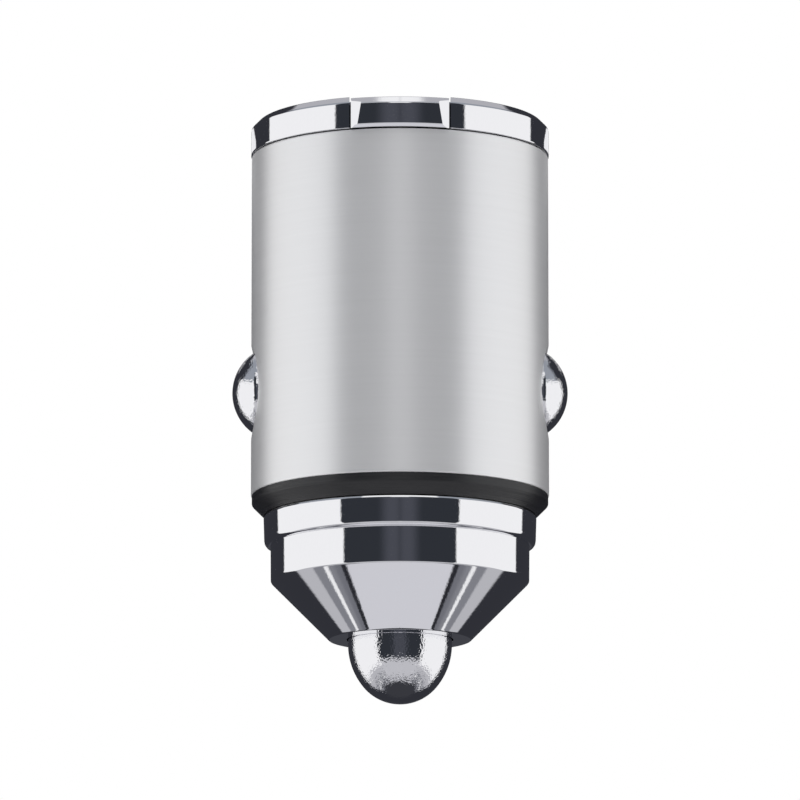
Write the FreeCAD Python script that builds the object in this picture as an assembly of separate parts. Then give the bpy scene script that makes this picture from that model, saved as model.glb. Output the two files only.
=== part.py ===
import FreeCAD, Part
import math
import os

# Flush car charger with two USB sockets and a fold-flat pull handle, in millimetres.
# The origin is on the axis at the barrel's lower end. +Z points to the USB face and
# -Z to the tip. -Y is the front, where the handle's nail tab is.

# Barrel: turned aluminium tube with a round window for each side contact
BARREL_RADIUS = 10.40
BARREL_WALL = 0.80
BARREL_EDGE = 0.12
CONTACT_HEIGHT = 7.34
WINDOW_CLEARANCE = 0.15
WINDOW_EDGE = 0.12

# End ring: plated ring pressed into the barrel's upper end
RING_PROUD = 0.05
RING_JOINT_LINE = 0.07
RING_HEIGHT = 2.33
RING_BEVEL = 0.50
RING_LOWER_EDGE = 0.10
RING_LAND = 1.65
RING_SPIGOT_LENGTH = 2.00
RING_SPIGOT_WALL = 0.60
PRESS_CLEARANCE = 0.05

# Pull handle: half ring that lies round the face plate, with a nail tab at the front
HANDLE_RIM_WALL = 1.10
HANDLE_WIDTH = 1.75
HANDLE_THICKNESS = 1.30
HANDLE_RECESS = 0.15
HANDLE_SIDE_CLEARANCE = 0.15
HANDLE_INNER_CLEARANCE = 0.25
HANDLE_FLOOR_CLEARANCE = 0.10
HANDLE_HEEL_CLEARANCE = 0.35
TAB_PROUD = 0.30
TAB_FACE_HALF_TOP = 2.62
TAB_FACE_HALF_BASE = 2.98
TAB_ROOT_HALF = 3.40
TAB_BEVEL_DEPTH = 0.43
TAB_LOWER_EDGE = 0.22
TAB_UPPER_EDGE = 0.50
TAB_NECK_CLEARANCE = 0.15
TAB_SIDE_CLEARANCE = 0.10
PIN_RADIUS = 0.40
PIN_FIT = 0.01
PIN_RUNNING_CLEARANCE = 0.04
PIN_SKIN = 0.30
PIN_INSET = 0.15

# Face plate: moulded black plate that carries both sockets
PLATE_RECESS = 0.30
PLATE_SIDE_CLEARANCE = 0.10
PLATE_FLANGE_THICKNESS = 1.35
PLATE_OPENING_BEVEL = 0.25
SOCKET_OPENING_CLEARANCE = 0.10
SOCKET_RECESS = 0.25

# Large USB socket, in the back half of the face
USB_A_WIDTH = 13.10
USB_A_HEIGHT = 5.72
USB_A_CORNER = 0.50
USB_A_WALL = 0.30
USB_A_LENGTH = 10.50
USB_A_TONGUE_WIDTH = 11.10
USB_A_TONGUE_THICKNESS = 1.84
USB_A_TONGUE_GAP = 0.77
USB_A_TONGUE_RECESS = 0.85
USB_A_BASE_THICKNESS = 2.00
USB_A_CONTACT_PLACES = (-3.50, -1.00, 1.00, 3.50)
USB_A_CONTACT_WIDTH = 1.00
USB_A_CONTACT_THICKNESS = 0.20
USB_A_CONTACT_SETBACK = 0.60
USB_A_LEAF_PLACES = (-2.70, 2.70)
USB_A_LEAF_WIDTH = 1.60
USB_A_LEAF_LENGTH = 5.00
USB_A_LEAF_DEPTH = 0.35
USB_A_LEAF_START = 1.40
USB_A_LEAF_SLIT = 0.30

# Small USB socket, in the front half, inside the handle
USB_C_WIDTH = 8.94
USB_C_HEIGHT = 3.26
USB_C_WALL = 0.25
USB_C_LENGTH = 7.35
BOARD_TO_USB_C = 0.21
USB_C_TONGUE_WIDTH = 6.69
USB_C_TONGUE_THICKNESS = 0.70
USB_C_TONGUE_RECESS = 0.90
USB_C_BASE_THICKNESS = 1.60
USB_C_CONTACT_COUNT = 6
USB_C_CONTACT_PITCH = 1.00
USB_C_CONTACT_WIDTH = 0.40
USB_C_CONTACT_THICKNESS = 0.08
USB_C_CONTACT_SETBACK = 0.50
SOCKET_PART_CLEARANCE = 0.04
SOCKET_LEG_WIDTH = 1.20
SOCKET_LEG_LENGTH = 2.00
SOCKET_LEG_RISE = 1.20

# Indicator light beside the small socket
LENS_RADIUS = 0.55
LENS_TO_USB_C = 0.73
LENS_TO_BOARD = 0.79
LENS_LENGTH = 3.20
LENS_FIT = 0.05
LED_WIDTH = 1.60
LED_DEPTH = 1.20
LED_HEIGHT = 0.80
LED_GAP = 0.20

# Insulating collar between the barrel and the nose
COLLAR_STEP = 0.06
COLLAR_LAND = 0.56
COLLAR_CONE_HEIGHT = 0.84
COLLAR_CONE_DEPTH = 0.84
COLLAR_UPPER_SPIGOT = 3.00
COLLAR_LOWER_SPIGOT = 1.80

# Nose cap: stepped and plated, with the tip through its end
NOSE_JOINT_LINE = 0.06
NOSE_STEP_OUT = 0.01
NOSE_BAND_HEIGHT = 1.71
NOSE_DRAFT = 0.08
NOSE_STEP_HEIGHT = 0.44
NOSE_NECK_DEPTH = 0.51
NOSE_NECK_HEIGHT = 2.40
NOSE_CONE_HEIGHT = 4.09
NOSE_CONE_DEPTH = 4.06
NOSE_WALL = 1.00
NOSE_END_WALL = 1.20
TIP_BORE_CLEARANCE = 0.085

# Tip contact: turned, with a slightly pointed dome
TIP_RADIUS = 3.615
TIP_DOME_LENGTH = 4.18
TIP_CROWN_RADIUS = 3.30
TIP_NECK = 0.30
TIP_FLANGE_STEP = 0.635
TIP_FLANGE_THICKNESS = 1.00
TIP_FLANGE_CLEARANCE = 0.15
TIP_SPRING_RADIUS = 3.70
TIP_SPRING_WIRE = 0.25
TIP_SPRING_TURNS = 3.5
TERMINAL_RADIUS = 4.10
TERMINAL_THICKNESS = 0.50

# Side contacts: domed, sprung outwards through the barrel's windows
DOME_RADIUS = 3.11
DOME_REACH = 1.32
DOME_CROWN_RADIUS = 3.55
CONTACT_FLANGE_STEP = 0.69
CONTACT_FLANGE_THICKNESS = 0.80
CONTACT_STEM_LENGTH = 3.02
SIDE_SPRING_RADIUS = 1.95
SIDE_SPRING_WIRE = 0.20
SIDE_SPRING_TURNS = 3.0

# Springs: corners of the wire's section, and sections in one turn
COIL_SIDES = 5
COIL_STATIONS = 12

# Inner chassis: moulded block with a pocket for each side contact
CHASSIS_CLEARANCE = 0.15
POCKET_CLEARANCE = 0.15
POCKET_FLOOR_X = 4.20
POCKET_ROOF = 0.70
POCKET_SIDE_WALL = 0.40
POST_LAP = 1.05
POST_WALL = 0.80
POST_HEIGHT = 2.80
BRACKET_THICKNESS = 0.30
BRACKET_HALF_WIDTH = 1.50
BRACKET_PAD_RADIUS = 2.70
BRACKET_SLOT_CLEARANCE = 0.05
BRACKET_HOLE_CLEARANCE = 0.25
POSITIVE_PIN_RADIUS = 0.70
POSITIVE_PIN_CLEARANCE = 0.10
POSITIVE_PIN_LAP = 1.90

# Circuit board, standing between the two sockets, and the parts on it
BOARD_HALF_WIDTH = 7.60
BOARD_THICKNESS = 1.00
BOARD_TO_USB_A = 0.20
BOARD_TO_PIN = 0.01
BOARD_TO_PLATE = 0.20
BOARD_SLOT_CLEARANCE = 0.05
PART_FOOT_GAP = 0.50
INDUCTOR_WIDTH = 5.40
INDUCTOR_HEADROOM = 0.41
INDUCTOR_HEIGHT = 4.00
INDUCTOR_EDGE = 0.90
INDUCTOR_TO_BOARD_EDGE = 1.25
OUTPUT_CAN_RADIUS = 2.00
OUTPUT_CAN_HEIGHT = 5.00
OUTPUT_CAN_GAP = 0.30
INPUT_CAN_RADIUS = 1.45
INPUT_CAN_HEIGHT = 4.00
INPUT_CAN_GAP = 0.20
CAN_EDGE = 0.25
CONTROLLER_WIDTH = 4.40
CONTROLLER_HEIGHT = 0.90
CONTROLLER_DEPTH = 2.00
CONTROLLER_X = 4.00
CONTROLLER_LEAD_COUNT = 4
SWITCH_WIDTH = 2.90
SWITCH_DEPTH = 1.60
SWITCH_HEIGHT = 1.00
SWITCH_X = -3.60
SWITCH_LEAD_COUNT = 3
CHIP_LEAD_PITCH = 0.95
CHIP_LEAD_WIDTH = 0.40
CHIP_LEAD_LENGTH = 0.35
CHIP_LEAD_THICKNESS = 0.20
CHIP_HEADROOM = 0.31

# Sizes that follow from the ones above: side contacts and the chassis round them
BORE_RADIUS = BARREL_RADIUS - BARREL_WALL
WINDOW_RADIUS = DOME_RADIUS + WINDOW_CLEARANCE
DOME_APEX = BARREL_RADIUS + DOME_REACH
DOME_RIM = DOME_APEX - DOME_CROWN_RADIUS + math.sqrt(DOME_CROWN_RADIUS ** 2 - DOME_RADIUS ** 2)
CONTACT_FLANGE_TOP = DOME_APEX - CONTACT_STEM_LENGTH
CONTACT_FLANGE_BASE = CONTACT_FLANGE_TOP - CONTACT_FLANGE_THICKNESS
CONTACT_FLANGE_RADIUS = DOME_RADIUS + CONTACT_FLANGE_STEP
POCKET_RADIUS = CONTACT_FLANGE_RADIUS + POCKET_CLEARANCE
CHASSIS_RADIUS = BORE_RADIUS - CHASSIS_CLEARANCE
CHASSIS_HALF_Y = POCKET_RADIUS + POCKET_SIDE_WALL
CHASSIS_HALF_X = math.sqrt(CHASSIS_RADIUS ** 2 - CHASSIS_HALF_Y ** 2)
CHASSIS_BASE = COLLAR_UPPER_SPIGOT
CHASSIS_TOP = CONTACT_HEIGHT + POCKET_RADIUS + POCKET_ROOF
BRACKET_PAD_X = POCKET_FLOOR_X + BRACKET_THICKNESS
BOARD_BASE = CHASSIS_TOP + BRACKET_THICKNESS
PART_BASE = BOARD_BASE + PART_FOOT_GAP

# Heights from the board up: the barrel is as long as the taller of two stacks, the
# inductor under the small socket and the controller under the large one
FRONT_STACK = INDUCTOR_WIDTH + INDUCTOR_HEADROOM + USB_C_LENGTH
BACK_STACK = CONTROLLER_DEPTH + CHIP_LEAD_LENGTH + CHIP_HEADROOM + USB_A_LENGTH
SOCKET_TOP = PART_BASE + max(FRONT_STACK, BACK_STACK)
USB_C_BASE = SOCKET_TOP - USB_C_LENGTH
USB_A_BASE = SOCKET_TOP - USB_A_LENGTH
PLATE_TOP = SOCKET_TOP + SOCKET_RECESS
RING_TOP = PLATE_TOP + PLATE_RECESS
RING_BASE = RING_TOP - RING_HEIGHT
BARREL_LENGTH = RING_BASE - RING_JOINT_LINE
HANDLE_TOP = RING_TOP - HANDLE_RECESS
HANDLE_BASE = HANDLE_TOP - HANDLE_THICKNESS
HANDLE_HALF = HANDLE_THICKNESS / 2
HINGE_Z = HANDLE_TOP - HANDLE_HALF
CHANNEL_FLOOR = HANDLE_BASE - HANDLE_FLOOR_CLEARANCE
PLATE_BASE = CHANNEL_FLOOR - PLATE_FLANGE_THICKNESS
BOARD_TOP = PLATE_BASE - BOARD_TO_PLATE
LENS_BASE = PLATE_TOP - LENS_LENGTH

# Radii of the ring, the handle, the plate and the tab
RING_RADIUS = BARREL_RADIUS + RING_PROUD
RING_INNER_RADIUS = RING_RADIUS - RING_LAND
SPIGOT_RADIUS = BORE_RADIUS - PRESS_CLEARANCE
RING_SPIGOT_BORE = SPIGOT_RADIUS - RING_SPIGOT_WALL
CHANNEL_RADIUS = RING_RADIUS - HANDLE_RIM_WALL
HANDLE_OUTER = CHANNEL_RADIUS - HANDLE_SIDE_CLEARANCE
HANDLE_INNER = HANDLE_OUTER - HANDLE_WIDTH
CHANNEL_END_Y = HANDLE_HALF + HANDLE_HEEL_CLEARANCE
TAB_RADIUS = RING_RADIUS + TAB_PROUD
TAB_INNER_RADIUS = SPIGOT_RADIUS + TAB_NECK_CLEARANCE
NOTCH_HALF = TAB_ROOT_HALF + TAB_SIDE_CLEARANCE
PLATE_RADIUS = RING_INNER_RADIUS - PLATE_SIDE_CLEARANCE
PLATE_FRONT_RADIUS = HANDLE_INNER - HANDLE_INNER_CLEARANCE
PLATE_FLANGE_RADIUS = RING_SPIGOT_BORE - PRESS_CLEARANCE

# Places from front to back: the board stands in front of the pin on the axis
BOARD_BACK_Y = -POSITIVE_PIN_RADIUS - BOARD_TO_PIN
BOARD_FRONT_Y = BOARD_BACK_Y - BOARD_THICKNESS
USB_A_Y = BOARD_BACK_Y + BOARD_TO_USB_A + USB_A_HEIGHT / 2
USB_A_TONGUE_BACK_Y = USB_A_Y + USB_A_HEIGHT / 2 - USB_A_WALL - USB_A_TONGUE_GAP
USB_A_TONGUE_FACE_Y = USB_A_TONGUE_BACK_Y - USB_A_TONGUE_THICKNESS
USB_C_Y = BOARD_FRONT_Y - BOARD_TO_USB_C - USB_C_HEIGHT / 2
INDUCTOR_X = -BOARD_HALF_WIDTH + INDUCTOR_TO_BOARD_EDGE + INDUCTOR_WIDTH / 2
OUTPUT_CAN_X = INDUCTOR_X + INDUCTOR_WIDTH / 2 + OUTPUT_CAN_GAP + OUTPUT_CAN_RADIUS
INPUT_CAN_X = OUTPUT_CAN_X + OUTPUT_CAN_RADIUS + INPUT_CAN_GAP + INPUT_CAN_RADIUS
LENS_X = USB_C_WIDTH / 2 + LENS_TO_USB_C + LENS_RADIUS
LENS_Y = BOARD_FRONT_Y - LENS_TO_BOARD

# Radii and heights of the nose end
COLLAR_RADIUS = BARREL_RADIUS - COLLAR_STEP
COLLAR_CONE_RADIUS = COLLAR_RADIUS - COLLAR_CONE_DEPTH
COLLAR_CONE_Z = -COLLAR_LAND - COLLAR_CONE_HEIGHT
NOSE_TOP_RADIUS = COLLAR_CONE_RADIUS + NOSE_STEP_OUT
NOSE_STEP_RADIUS = NOSE_TOP_RADIUS - NOSE_DRAFT
NOSE_NECK_RADIUS = NOSE_TOP_RADIUS - NOSE_NECK_DEPTH
NOSE_END_RADIUS = NOSE_NECK_RADIUS - NOSE_CONE_DEPTH
NOSE_TOP_Z = COLLAR_CONE_Z - NOSE_JOINT_LINE
NOSE_STEP_Z = NOSE_TOP_Z - NOSE_BAND_HEIGHT
NOSE_NECK_Z = NOSE_STEP_Z - NOSE_STEP_HEIGHT
NOSE_CONE_Z = NOSE_NECK_Z - NOSE_NECK_HEIGHT
NOSE_END_Z = NOSE_CONE_Z - NOSE_CONE_HEIGHT
NOSE_SOCKET_RADIUS = NOSE_TOP_RADIUS - NOSE_WALL
COLLAR_LOWER_RADIUS = NOSE_SOCKET_RADIUS - PRESS_CLEARANCE
COLLAR_LOWER_Z = COLLAR_CONE_Z - COLLAR_LOWER_SPIGOT
NOSE_SOCKET_Z = COLLAR_LOWER_Z - PRESS_CLEARANCE
TERMINAL_BASE = COLLAR_LOWER_Z - TERMINAL_THICKNESS
TIP_DOME_Z = NOSE_END_Z - TIP_NECK
TIP_BORE_RADIUS = TIP_RADIUS + TIP_BORE_CLEARANCE
TIP_FLANGE_RADIUS = TIP_RADIUS + TIP_FLANGE_STEP
TIP_SEAT_Z = NOSE_END_Z + NOSE_END_WALL
TIP_FLANGE_TOP = TIP_SEAT_Z + TIP_FLANGE_THICKNESS
NOSE_CHAMBER_RADIUS = TIP_FLANGE_RADIUS + TIP_FLANGE_CLEARANCE
REACH = 3 * BARREL_RADIUS


def vector(x, y, z):
    return FreeCAD.Vector(x, y, z)


def cylinder(radius, z0, z1, x=0.0, y=0.0):
    return Part.makeCylinder(radius, z1 - z0, vector(x, y, z0))


def cross_cylinder(radius, x0, x1, z, y=0.0):
    return Part.makeCylinder(radius, x1 - x0, vector(x0, y, z), vector(1, 0, 0))


def tube(outer, inner, z0, z1):
    return cylinder(outer, z0, z1).cut(cylinder(inner, z0, z1))


def block(x0, x1, y0, y1, z0, z1):
    return Part.makeBox(x1 - x0, y1 - y0, z1 - z0, vector(x0, y0, z0))


def turned_edges(edges):
    face = Part.Face(Part.Wire(edges))
    return face.revolve(vector(0, 0, 0), vector(0, 0, 1), 360)


def lines(points):
    places = [vector(r, 0, z) for r, z in points]
    return [Part.makeLine(a, b) for a, b in zip(places, places[1:])]


def turned(points):
    return turned_edges(lines(points + points[:1]))


def rounded_bar(width, height, corner, z0, z1, y):
    """Upright bar of rounded rectangular section, centred on x = 0 at the given y."""
    bar = block(-width / 2, width / 2, y - height / 2, y + height / 2, z0, z1)
    upright = [e for e in bar.Edges if abs(e.Vertexes[0].X - e.Vertexes[1].X) < 1e-6
               and abs(e.Vertexes[0].Y - e.Vertexes[1].Y) < 1e-6]
    return bar.makeFillet(corner, upright)


def stadium_bar(width, height, z0, z1, y):
    """Upright bar with fully round ends, centred on x = 0 at the given y."""
    half = (width - height) / 2
    middle = block(-half, half, y - height / 2, y + height / 2, z0, z1)
    ends = [cylinder(height / 2, z0, z1, x, y) for x in (-half, half)]
    return middle.fuse(ends).removeSplitter()


def end_outline(bar, z):
    """Outline of an upright bar's flat end at height z."""
    ends = [f for f in bar.Faces if f.BoundBox.ZLength < 1e-6 and abs(f.BoundBox.ZMin - z) < 1e-6]
    return ends[0].OuterWire


def bevelled_opening(plain, wide, z, size):
    """Cutter for an opening that widens over its last stretch below z."""
    lower = end_outline(plain, z - size)
    upper = end_outline(wide, z)
    return [plain, Part.makeLoft([lower, upper], True, True)]


def coil(radius, wire, turns, z0, z1):
    """Compression spring from z0 to z1: a many-sided wire lofted from station to station."""
    height = z1 - z0 - 2 * wire
    count = round(turns * COIL_STATIONS)
    sections = []
    for station in range(count + 1):
        share = station / count
        along = 2 * math.pi * turns * share
        middle = z0 + wire + height * share
        corners = []
        for corner in range(COIL_SIDES):
            round_wire = 2 * math.pi * corner / COIL_SIDES
            reach = radius + wire * math.cos(round_wire)
            corners.append(vector(reach * math.cos(along), reach * math.sin(along),
                                  middle + wire * math.sin(round_wire)))
        sections.append(Part.makePolygon(corners + corners[:1]))
    return Part.makeLoft(sections, True, True)


def pointed_dome(radius, base, apex, crown):
    """Half outline of a dome from its rim to its apex: a flank arc, then a crown arc."""
    up = math.copysign(1, apex - base)
    drop = apex - up * crown - base
    flank = (radius ** 2 + drop ** 2 - crown ** 2) / (2 * (radius - crown))
    crown_centre = vector(0, 0, base + drop)
    flank_centre = vector(radius - flank, 0, base)
    along = (crown_centre - flank_centre) / (flank - crown)
    join = crown_centre + along * crown
    edges = []
    rim = vector(radius, 0, base)
    top = vector(0, 0, apex)
    for start, end, centre, size in ((rim, join, flank_centre, flank), (join, top, crown_centre, crown)):
        middle = (start + end) / 2 - centre
        edges.append(Part.Arc(start, centre + middle.normalize() * size, end).toShape())
    return edges


def facing_side(shape, side):
    """Turns a shape made round +Z to point along +X (side 1) or -X (side -1), at the windows."""
    placed = shape.copy()
    placed.rotate(vector(0, 0, 0), vector(0, 1, 0), 90 * side)
    placed.translate(vector(0, 0, CONTACT_HEIGHT))
    return placed


# Barrel
def barrel_shell():
    wall = turned([
        (BORE_RADIUS, 0),
        (BARREL_RADIUS - BARREL_EDGE, 0),
        (BARREL_RADIUS, BARREL_EDGE),
        (BARREL_RADIUS, BARREL_LENGTH - BARREL_EDGE),
        (BARREL_RADIUS - BARREL_EDGE, BARREL_LENGTH),
        (BORE_RADIUS, BARREL_LENGTH),
    ])
    wall = wall.cut(cross_cylinder(WINDOW_RADIUS, -REACH, REACH, CONTACT_HEIGHT))
    rims = []
    for edge in wall.Edges:
        middle = edge.BoundBox.Center
        near_window = abs(middle.z - CONTACT_HEIGHT) < WINDOW_RADIUS
        box = edge.BoundBox
        outside = max(abs(box.XMin), abs(box.XMax)) > BARREL_RADIUS - BARREL_WALL / 4
        if near_window and outside and box.ZLength < 3 * WINDOW_RADIUS:
            rims.append(edge)
    return wall.makeChamfer(WINDOW_EDGE, rims)


# End ring
def handle_channel(inner, outer):
    """Room for the handle between two radii, from the channel floor up, in the front part."""
    room = tube(outer, inner, CHANNEL_FLOOR, RING_TOP + HANDLE_THICKNESS)
    return room.common(block(-REACH, REACH, -REACH, CHANNEL_END_Y, CHANNEL_FLOOR, REACH))


def end_ring():
    ring = turned([
        (RING_SPIGOT_BORE, RING_BASE - RING_SPIGOT_LENGTH),
        (SPIGOT_RADIUS, RING_BASE - RING_SPIGOT_LENGTH),
        (SPIGOT_RADIUS, RING_BASE),
        (RING_RADIUS - RING_LOWER_EDGE, RING_BASE),
        (RING_RADIUS, RING_BASE + RING_LOWER_EDGE),
        (RING_RADIUS, RING_TOP - RING_BEVEL),
        (RING_RADIUS - RING_BEVEL, RING_TOP),
        (RING_INNER_RADIUS, RING_TOP),
        (RING_INNER_RADIUS, CHANNEL_FLOOR),
        (RING_SPIGOT_BORE, CHANNEL_FLOOR),
    ])
    ring = ring.cut(handle_channel(RING_INNER_RADIUS / 2, CHANNEL_RADIUS))
    notch = block(-NOTCH_HALF, NOTCH_HALF, -REACH, 0, RING_BASE, REACH)
    notch = notch.cut(cylinder(SPIGOT_RADIUS, RING_BASE, CHANNEL_FLOOR))
    ring = ring.cut(notch)
    reach = RING_RADIUS - PIN_SKIN
    return ring.cut(cross_cylinder(PIN_RADIUS + PIN_FIT, -reach, reach, HINGE_Z))


# Pull handle
def tab_outline(face_half, z):
    """Plan of the nail tab at one height: straight root, then a bevel on each side."""
    root_y = math.sqrt(RING_RADIUS ** 2 - TAB_ROOT_HALF ** 2)
    corner = root_y + TAB_BEVEL_DEPTH
    half = [
        (TAB_ROOT_HALF, HANDLE_INNER),
        (TAB_ROOT_HALF, root_y),
        (face_half, corner),
        (face_half, TAB_RADIUS + TAB_PROUD),
    ]
    right = [vector(x, -y, z) for x, y in half]
    left = [vector(-x, -y, z) for x, y in reversed(half)]
    return Part.makePolygon(right + left + right[:1])


def nail_tab():
    band = turned([
        (HANDLE_INNER + HANDLE_WIDTH / 2, HANDLE_BASE),
        (TAB_INNER_RADIUS, HANDLE_BASE),
        (TAB_INNER_RADIUS, RING_BASE),
        (TAB_RADIUS - TAB_LOWER_EDGE, RING_BASE),
        (TAB_RADIUS, RING_BASE + TAB_LOWER_EDGE),
        (TAB_RADIUS, HANDLE_TOP - TAB_UPPER_EDGE),
        (TAB_RADIUS - TAB_UPPER_EDGE, HANDLE_TOP),
        (HANDLE_INNER + HANDLE_WIDTH / 2, HANDLE_TOP),
    ])
    base = tab_outline(TAB_FACE_HALF_BASE, RING_BASE)
    top = tab_outline(TAB_FACE_HALF_TOP, HANDLE_TOP)
    return band.common(Part.makeLoft([base, top], True, True))


def pull_handle():
    loop = turned([
        (HANDLE_INNER, HANDLE_BASE),
        (HANDLE_OUTER, HANDLE_BASE),
        (HANDLE_OUTER, HANDLE_TOP),
        (HANDLE_INNER, HANDLE_TOP),
    ])
    loop = loop.common(block(-REACH, REACH, -REACH, 0, 0, REACH))
    ends = [cross_cylinder(HANDLE_HALF, x, x + HANDLE_WIDTH, HINGE_Z)
            for x in (HANDLE_INNER, -HANDLE_OUTER)]
    handle = loop.fuse(ends + [nail_tab()]).removeSplitter()
    bore = PIN_RADIUS + PIN_RUNNING_CLEARANCE
    return handle.cut(cross_cylinder(bore, -REACH, REACH, HINGE_Z))


def handle_pin(side):
    inner = HANDLE_INNER + PIN_INSET
    outer = RING_RADIUS - PIN_SKIN
    ends = sorted((side * inner, side * outer))
    return cross_cylinder(PIN_RADIUS, ends[0], ends[1], HINGE_Z)


# Face plate
def face_plate():
    flange = cylinder(PLATE_FLANGE_RADIUS, PLATE_BASE, CHANNEL_FLOOR)
    top = cylinder(PLATE_RADIUS, CHANNEL_FLOOR, PLATE_TOP)
    plate = flange.fuse(top.cut(handle_channel(PLATE_FRONT_RADIUS, REACH)))
    bevel = PLATE_OPENING_BEVEL
    large = []
    small = []
    for grow, top in ((0, PLATE_TOP - bevel), (bevel, PLATE_TOP)):
        margin = SOCKET_OPENING_CLEARANCE + grow
        large.append(rounded_bar(USB_A_WIDTH + 2 * margin, USB_A_HEIGHT + 2 * margin,
                                 USB_A_CORNER + margin, 0, top, USB_A_Y))
        small.append(stadium_bar(USB_C_WIDTH + 2 * margin, USB_C_HEIGHT + 2 * margin, 0, top, USB_C_Y))
    for plain, wide in (large, small):
        plate = plate.cut(bevelled_opening(plain, wide, PLATE_TOP, bevel))
    return plate.cut(cylinder(LENS_RADIUS + LENS_FIT, 0, REACH, LENS_X, LENS_Y))


def led_lens():
    return cylinder(LENS_RADIUS, LENS_BASE, PLATE_TOP, LENS_X, LENS_Y)


def status_led():
    top = LENS_BASE - LED_GAP
    return block(LENS_X - LED_WIDTH / 2, LENS_X + LED_WIDTH / 2,
                 BOARD_FRONT_Y - LED_DEPTH, BOARD_FRONT_Y, top - LED_HEIGHT, top)


# Large USB socket
def usb_a_leaves(side):
    """Slits and bent leaves in one broad wall, on the side given by 1 or -1."""
    wall_y = USB_A_Y + side * (USB_A_HEIGHT / 2 - USB_A_WALL / 2)
    half = USB_A_WALL / 2
    top = SOCKET_TOP - USB_A_LEAF_START
    slits = []
    leaves = []
    for x in USB_A_LEAF_PLACES:
        reach = USB_A_LEAF_WIDTH / 2 + USB_A_LEAF_SLIT
        slits.append(block(x - reach, x + reach, wall_y - half, wall_y + half,
                           top - USB_A_LEAF_LENGTH - USB_A_LEAF_SLIT, top))
        leaf = block(x - USB_A_LEAF_WIDTH / 2, x + USB_A_LEAF_WIDTH / 2,
                     wall_y - half, wall_y + half, top - USB_A_LEAF_LENGTH, top)
        slope = math.degrees(math.atan2(USB_A_LEAF_DEPTH, USB_A_LEAF_LENGTH))
        leaf.rotate(vector(x, wall_y, top), vector(1, 0, 0), -side * slope)
        leaves.append(leaf)
    return slits, leaves


def usb_a_shell():
    outer = rounded_bar(USB_A_WIDTH, USB_A_HEIGHT, USB_A_CORNER, USB_A_BASE, SOCKET_TOP, USB_A_Y)
    shell = outer.cut(usb_a_cavity(USB_A_BASE, SOCKET_TOP, 0))
    for side in (1, -1):
        slits, leaves = usb_a_leaves(side)
        shell = shell.cut(slits).fuse(leaves)
    legs = []
    for x in (-1, 1):
        inner = x * (USB_A_WIDTH / 2 - USB_A_CORNER)
        ends = sorted((inner, inner - x * SOCKET_LEG_WIDTH))
        legs.append(block(ends[0], ends[1], BOARD_BACK_Y, USB_A_Y - USB_A_HEIGHT / 2 + USB_A_WALL / 2,
                          USB_A_BASE + SOCKET_LEG_RISE,
                          USB_A_BASE + SOCKET_LEG_RISE + SOCKET_LEG_LENGTH))
    return shell.fuse(legs)


def usb_a_cavity(z0, z1, clearance):
    shrink = 2 * (USB_A_WALL + clearance)
    corner = USB_A_CORNER - USB_A_WALL
    return rounded_bar(USB_A_WIDTH - shrink, USB_A_HEIGHT - shrink, corner, z0, z1, USB_A_Y)


def usb_a_tongue():
    base = usb_a_cavity(USB_A_BASE, USB_A_BASE + USB_A_BASE_THICKNESS, SOCKET_PART_CLEARANCE)
    half = USB_A_TONGUE_WIDTH / 2
    tongue = block(-half, half, USB_A_TONGUE_FACE_Y, USB_A_TONGUE_BACK_Y,
                   USB_A_BASE, SOCKET_TOP - USB_A_TONGUE_RECESS)
    nose = [e for e in tongue.Edges if abs(e.BoundBox.ZMin - tongue.BoundBox.ZMax) < 1e-6]
    return base.fuse(tongue.makeChamfer(USB_A_TONGUE_THICKNESS / 6, nose))


def usb_a_contacts():
    """Four flat contacts on the tongue, as one group of separate strips."""
    strips = []
    for x in USB_A_CONTACT_PLACES:
        strips.append(block(x - USB_A_CONTACT_WIDTH / 2, x + USB_A_CONTACT_WIDTH / 2,
                            USB_A_TONGUE_FACE_Y - USB_A_CONTACT_THICKNESS, USB_A_TONGUE_FACE_Y,
                            USB_A_BASE + USB_A_BASE_THICKNESS,
                            SOCKET_TOP - USB_A_TONGUE_RECESS - USB_A_CONTACT_SETBACK))
    return Part.makeCompound(strips)


# Small USB socket
def usb_c_bar(z0, z1, inset):
    return stadium_bar(USB_C_WIDTH - 2 * inset, USB_C_HEIGHT - 2 * inset, z0, z1, USB_C_Y)


def usb_c_shell():
    shell = usb_c_bar(USB_C_BASE, SOCKET_TOP, 0).cut(usb_c_bar(USB_C_BASE, SOCKET_TOP, USB_C_WALL))
    legs = []
    for x in (-1, 1):
        inner = x * (USB_C_WIDTH - USB_C_HEIGHT) / 2
        ends = sorted((inner, inner - x * SOCKET_LEG_WIDTH))
        legs.append(block(ends[0], ends[1], USB_C_Y + USB_C_HEIGHT / 2 - USB_C_WALL / 2, BOARD_FRONT_Y,
                          USB_C_BASE + SOCKET_LEG_RISE,
                          USB_C_BASE + SOCKET_LEG_RISE + SOCKET_LEG_LENGTH))
    return shell.fuse(legs)


def usb_c_tongue():
    inset = USB_C_WALL + SOCKET_PART_CLEARANCE
    base = usb_c_bar(USB_C_BASE, USB_C_BASE + USB_C_BASE_THICKNESS, inset)
    half = USB_C_TONGUE_WIDTH / 2
    back = USB_C_Y + USB_C_TONGUE_THICKNESS / 2
    tongue = block(-half, half, back - USB_C_TONGUE_THICKNESS, back,
                   USB_C_BASE, SOCKET_TOP - USB_C_TONGUE_RECESS)
    return base.fuse(tongue)


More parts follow.
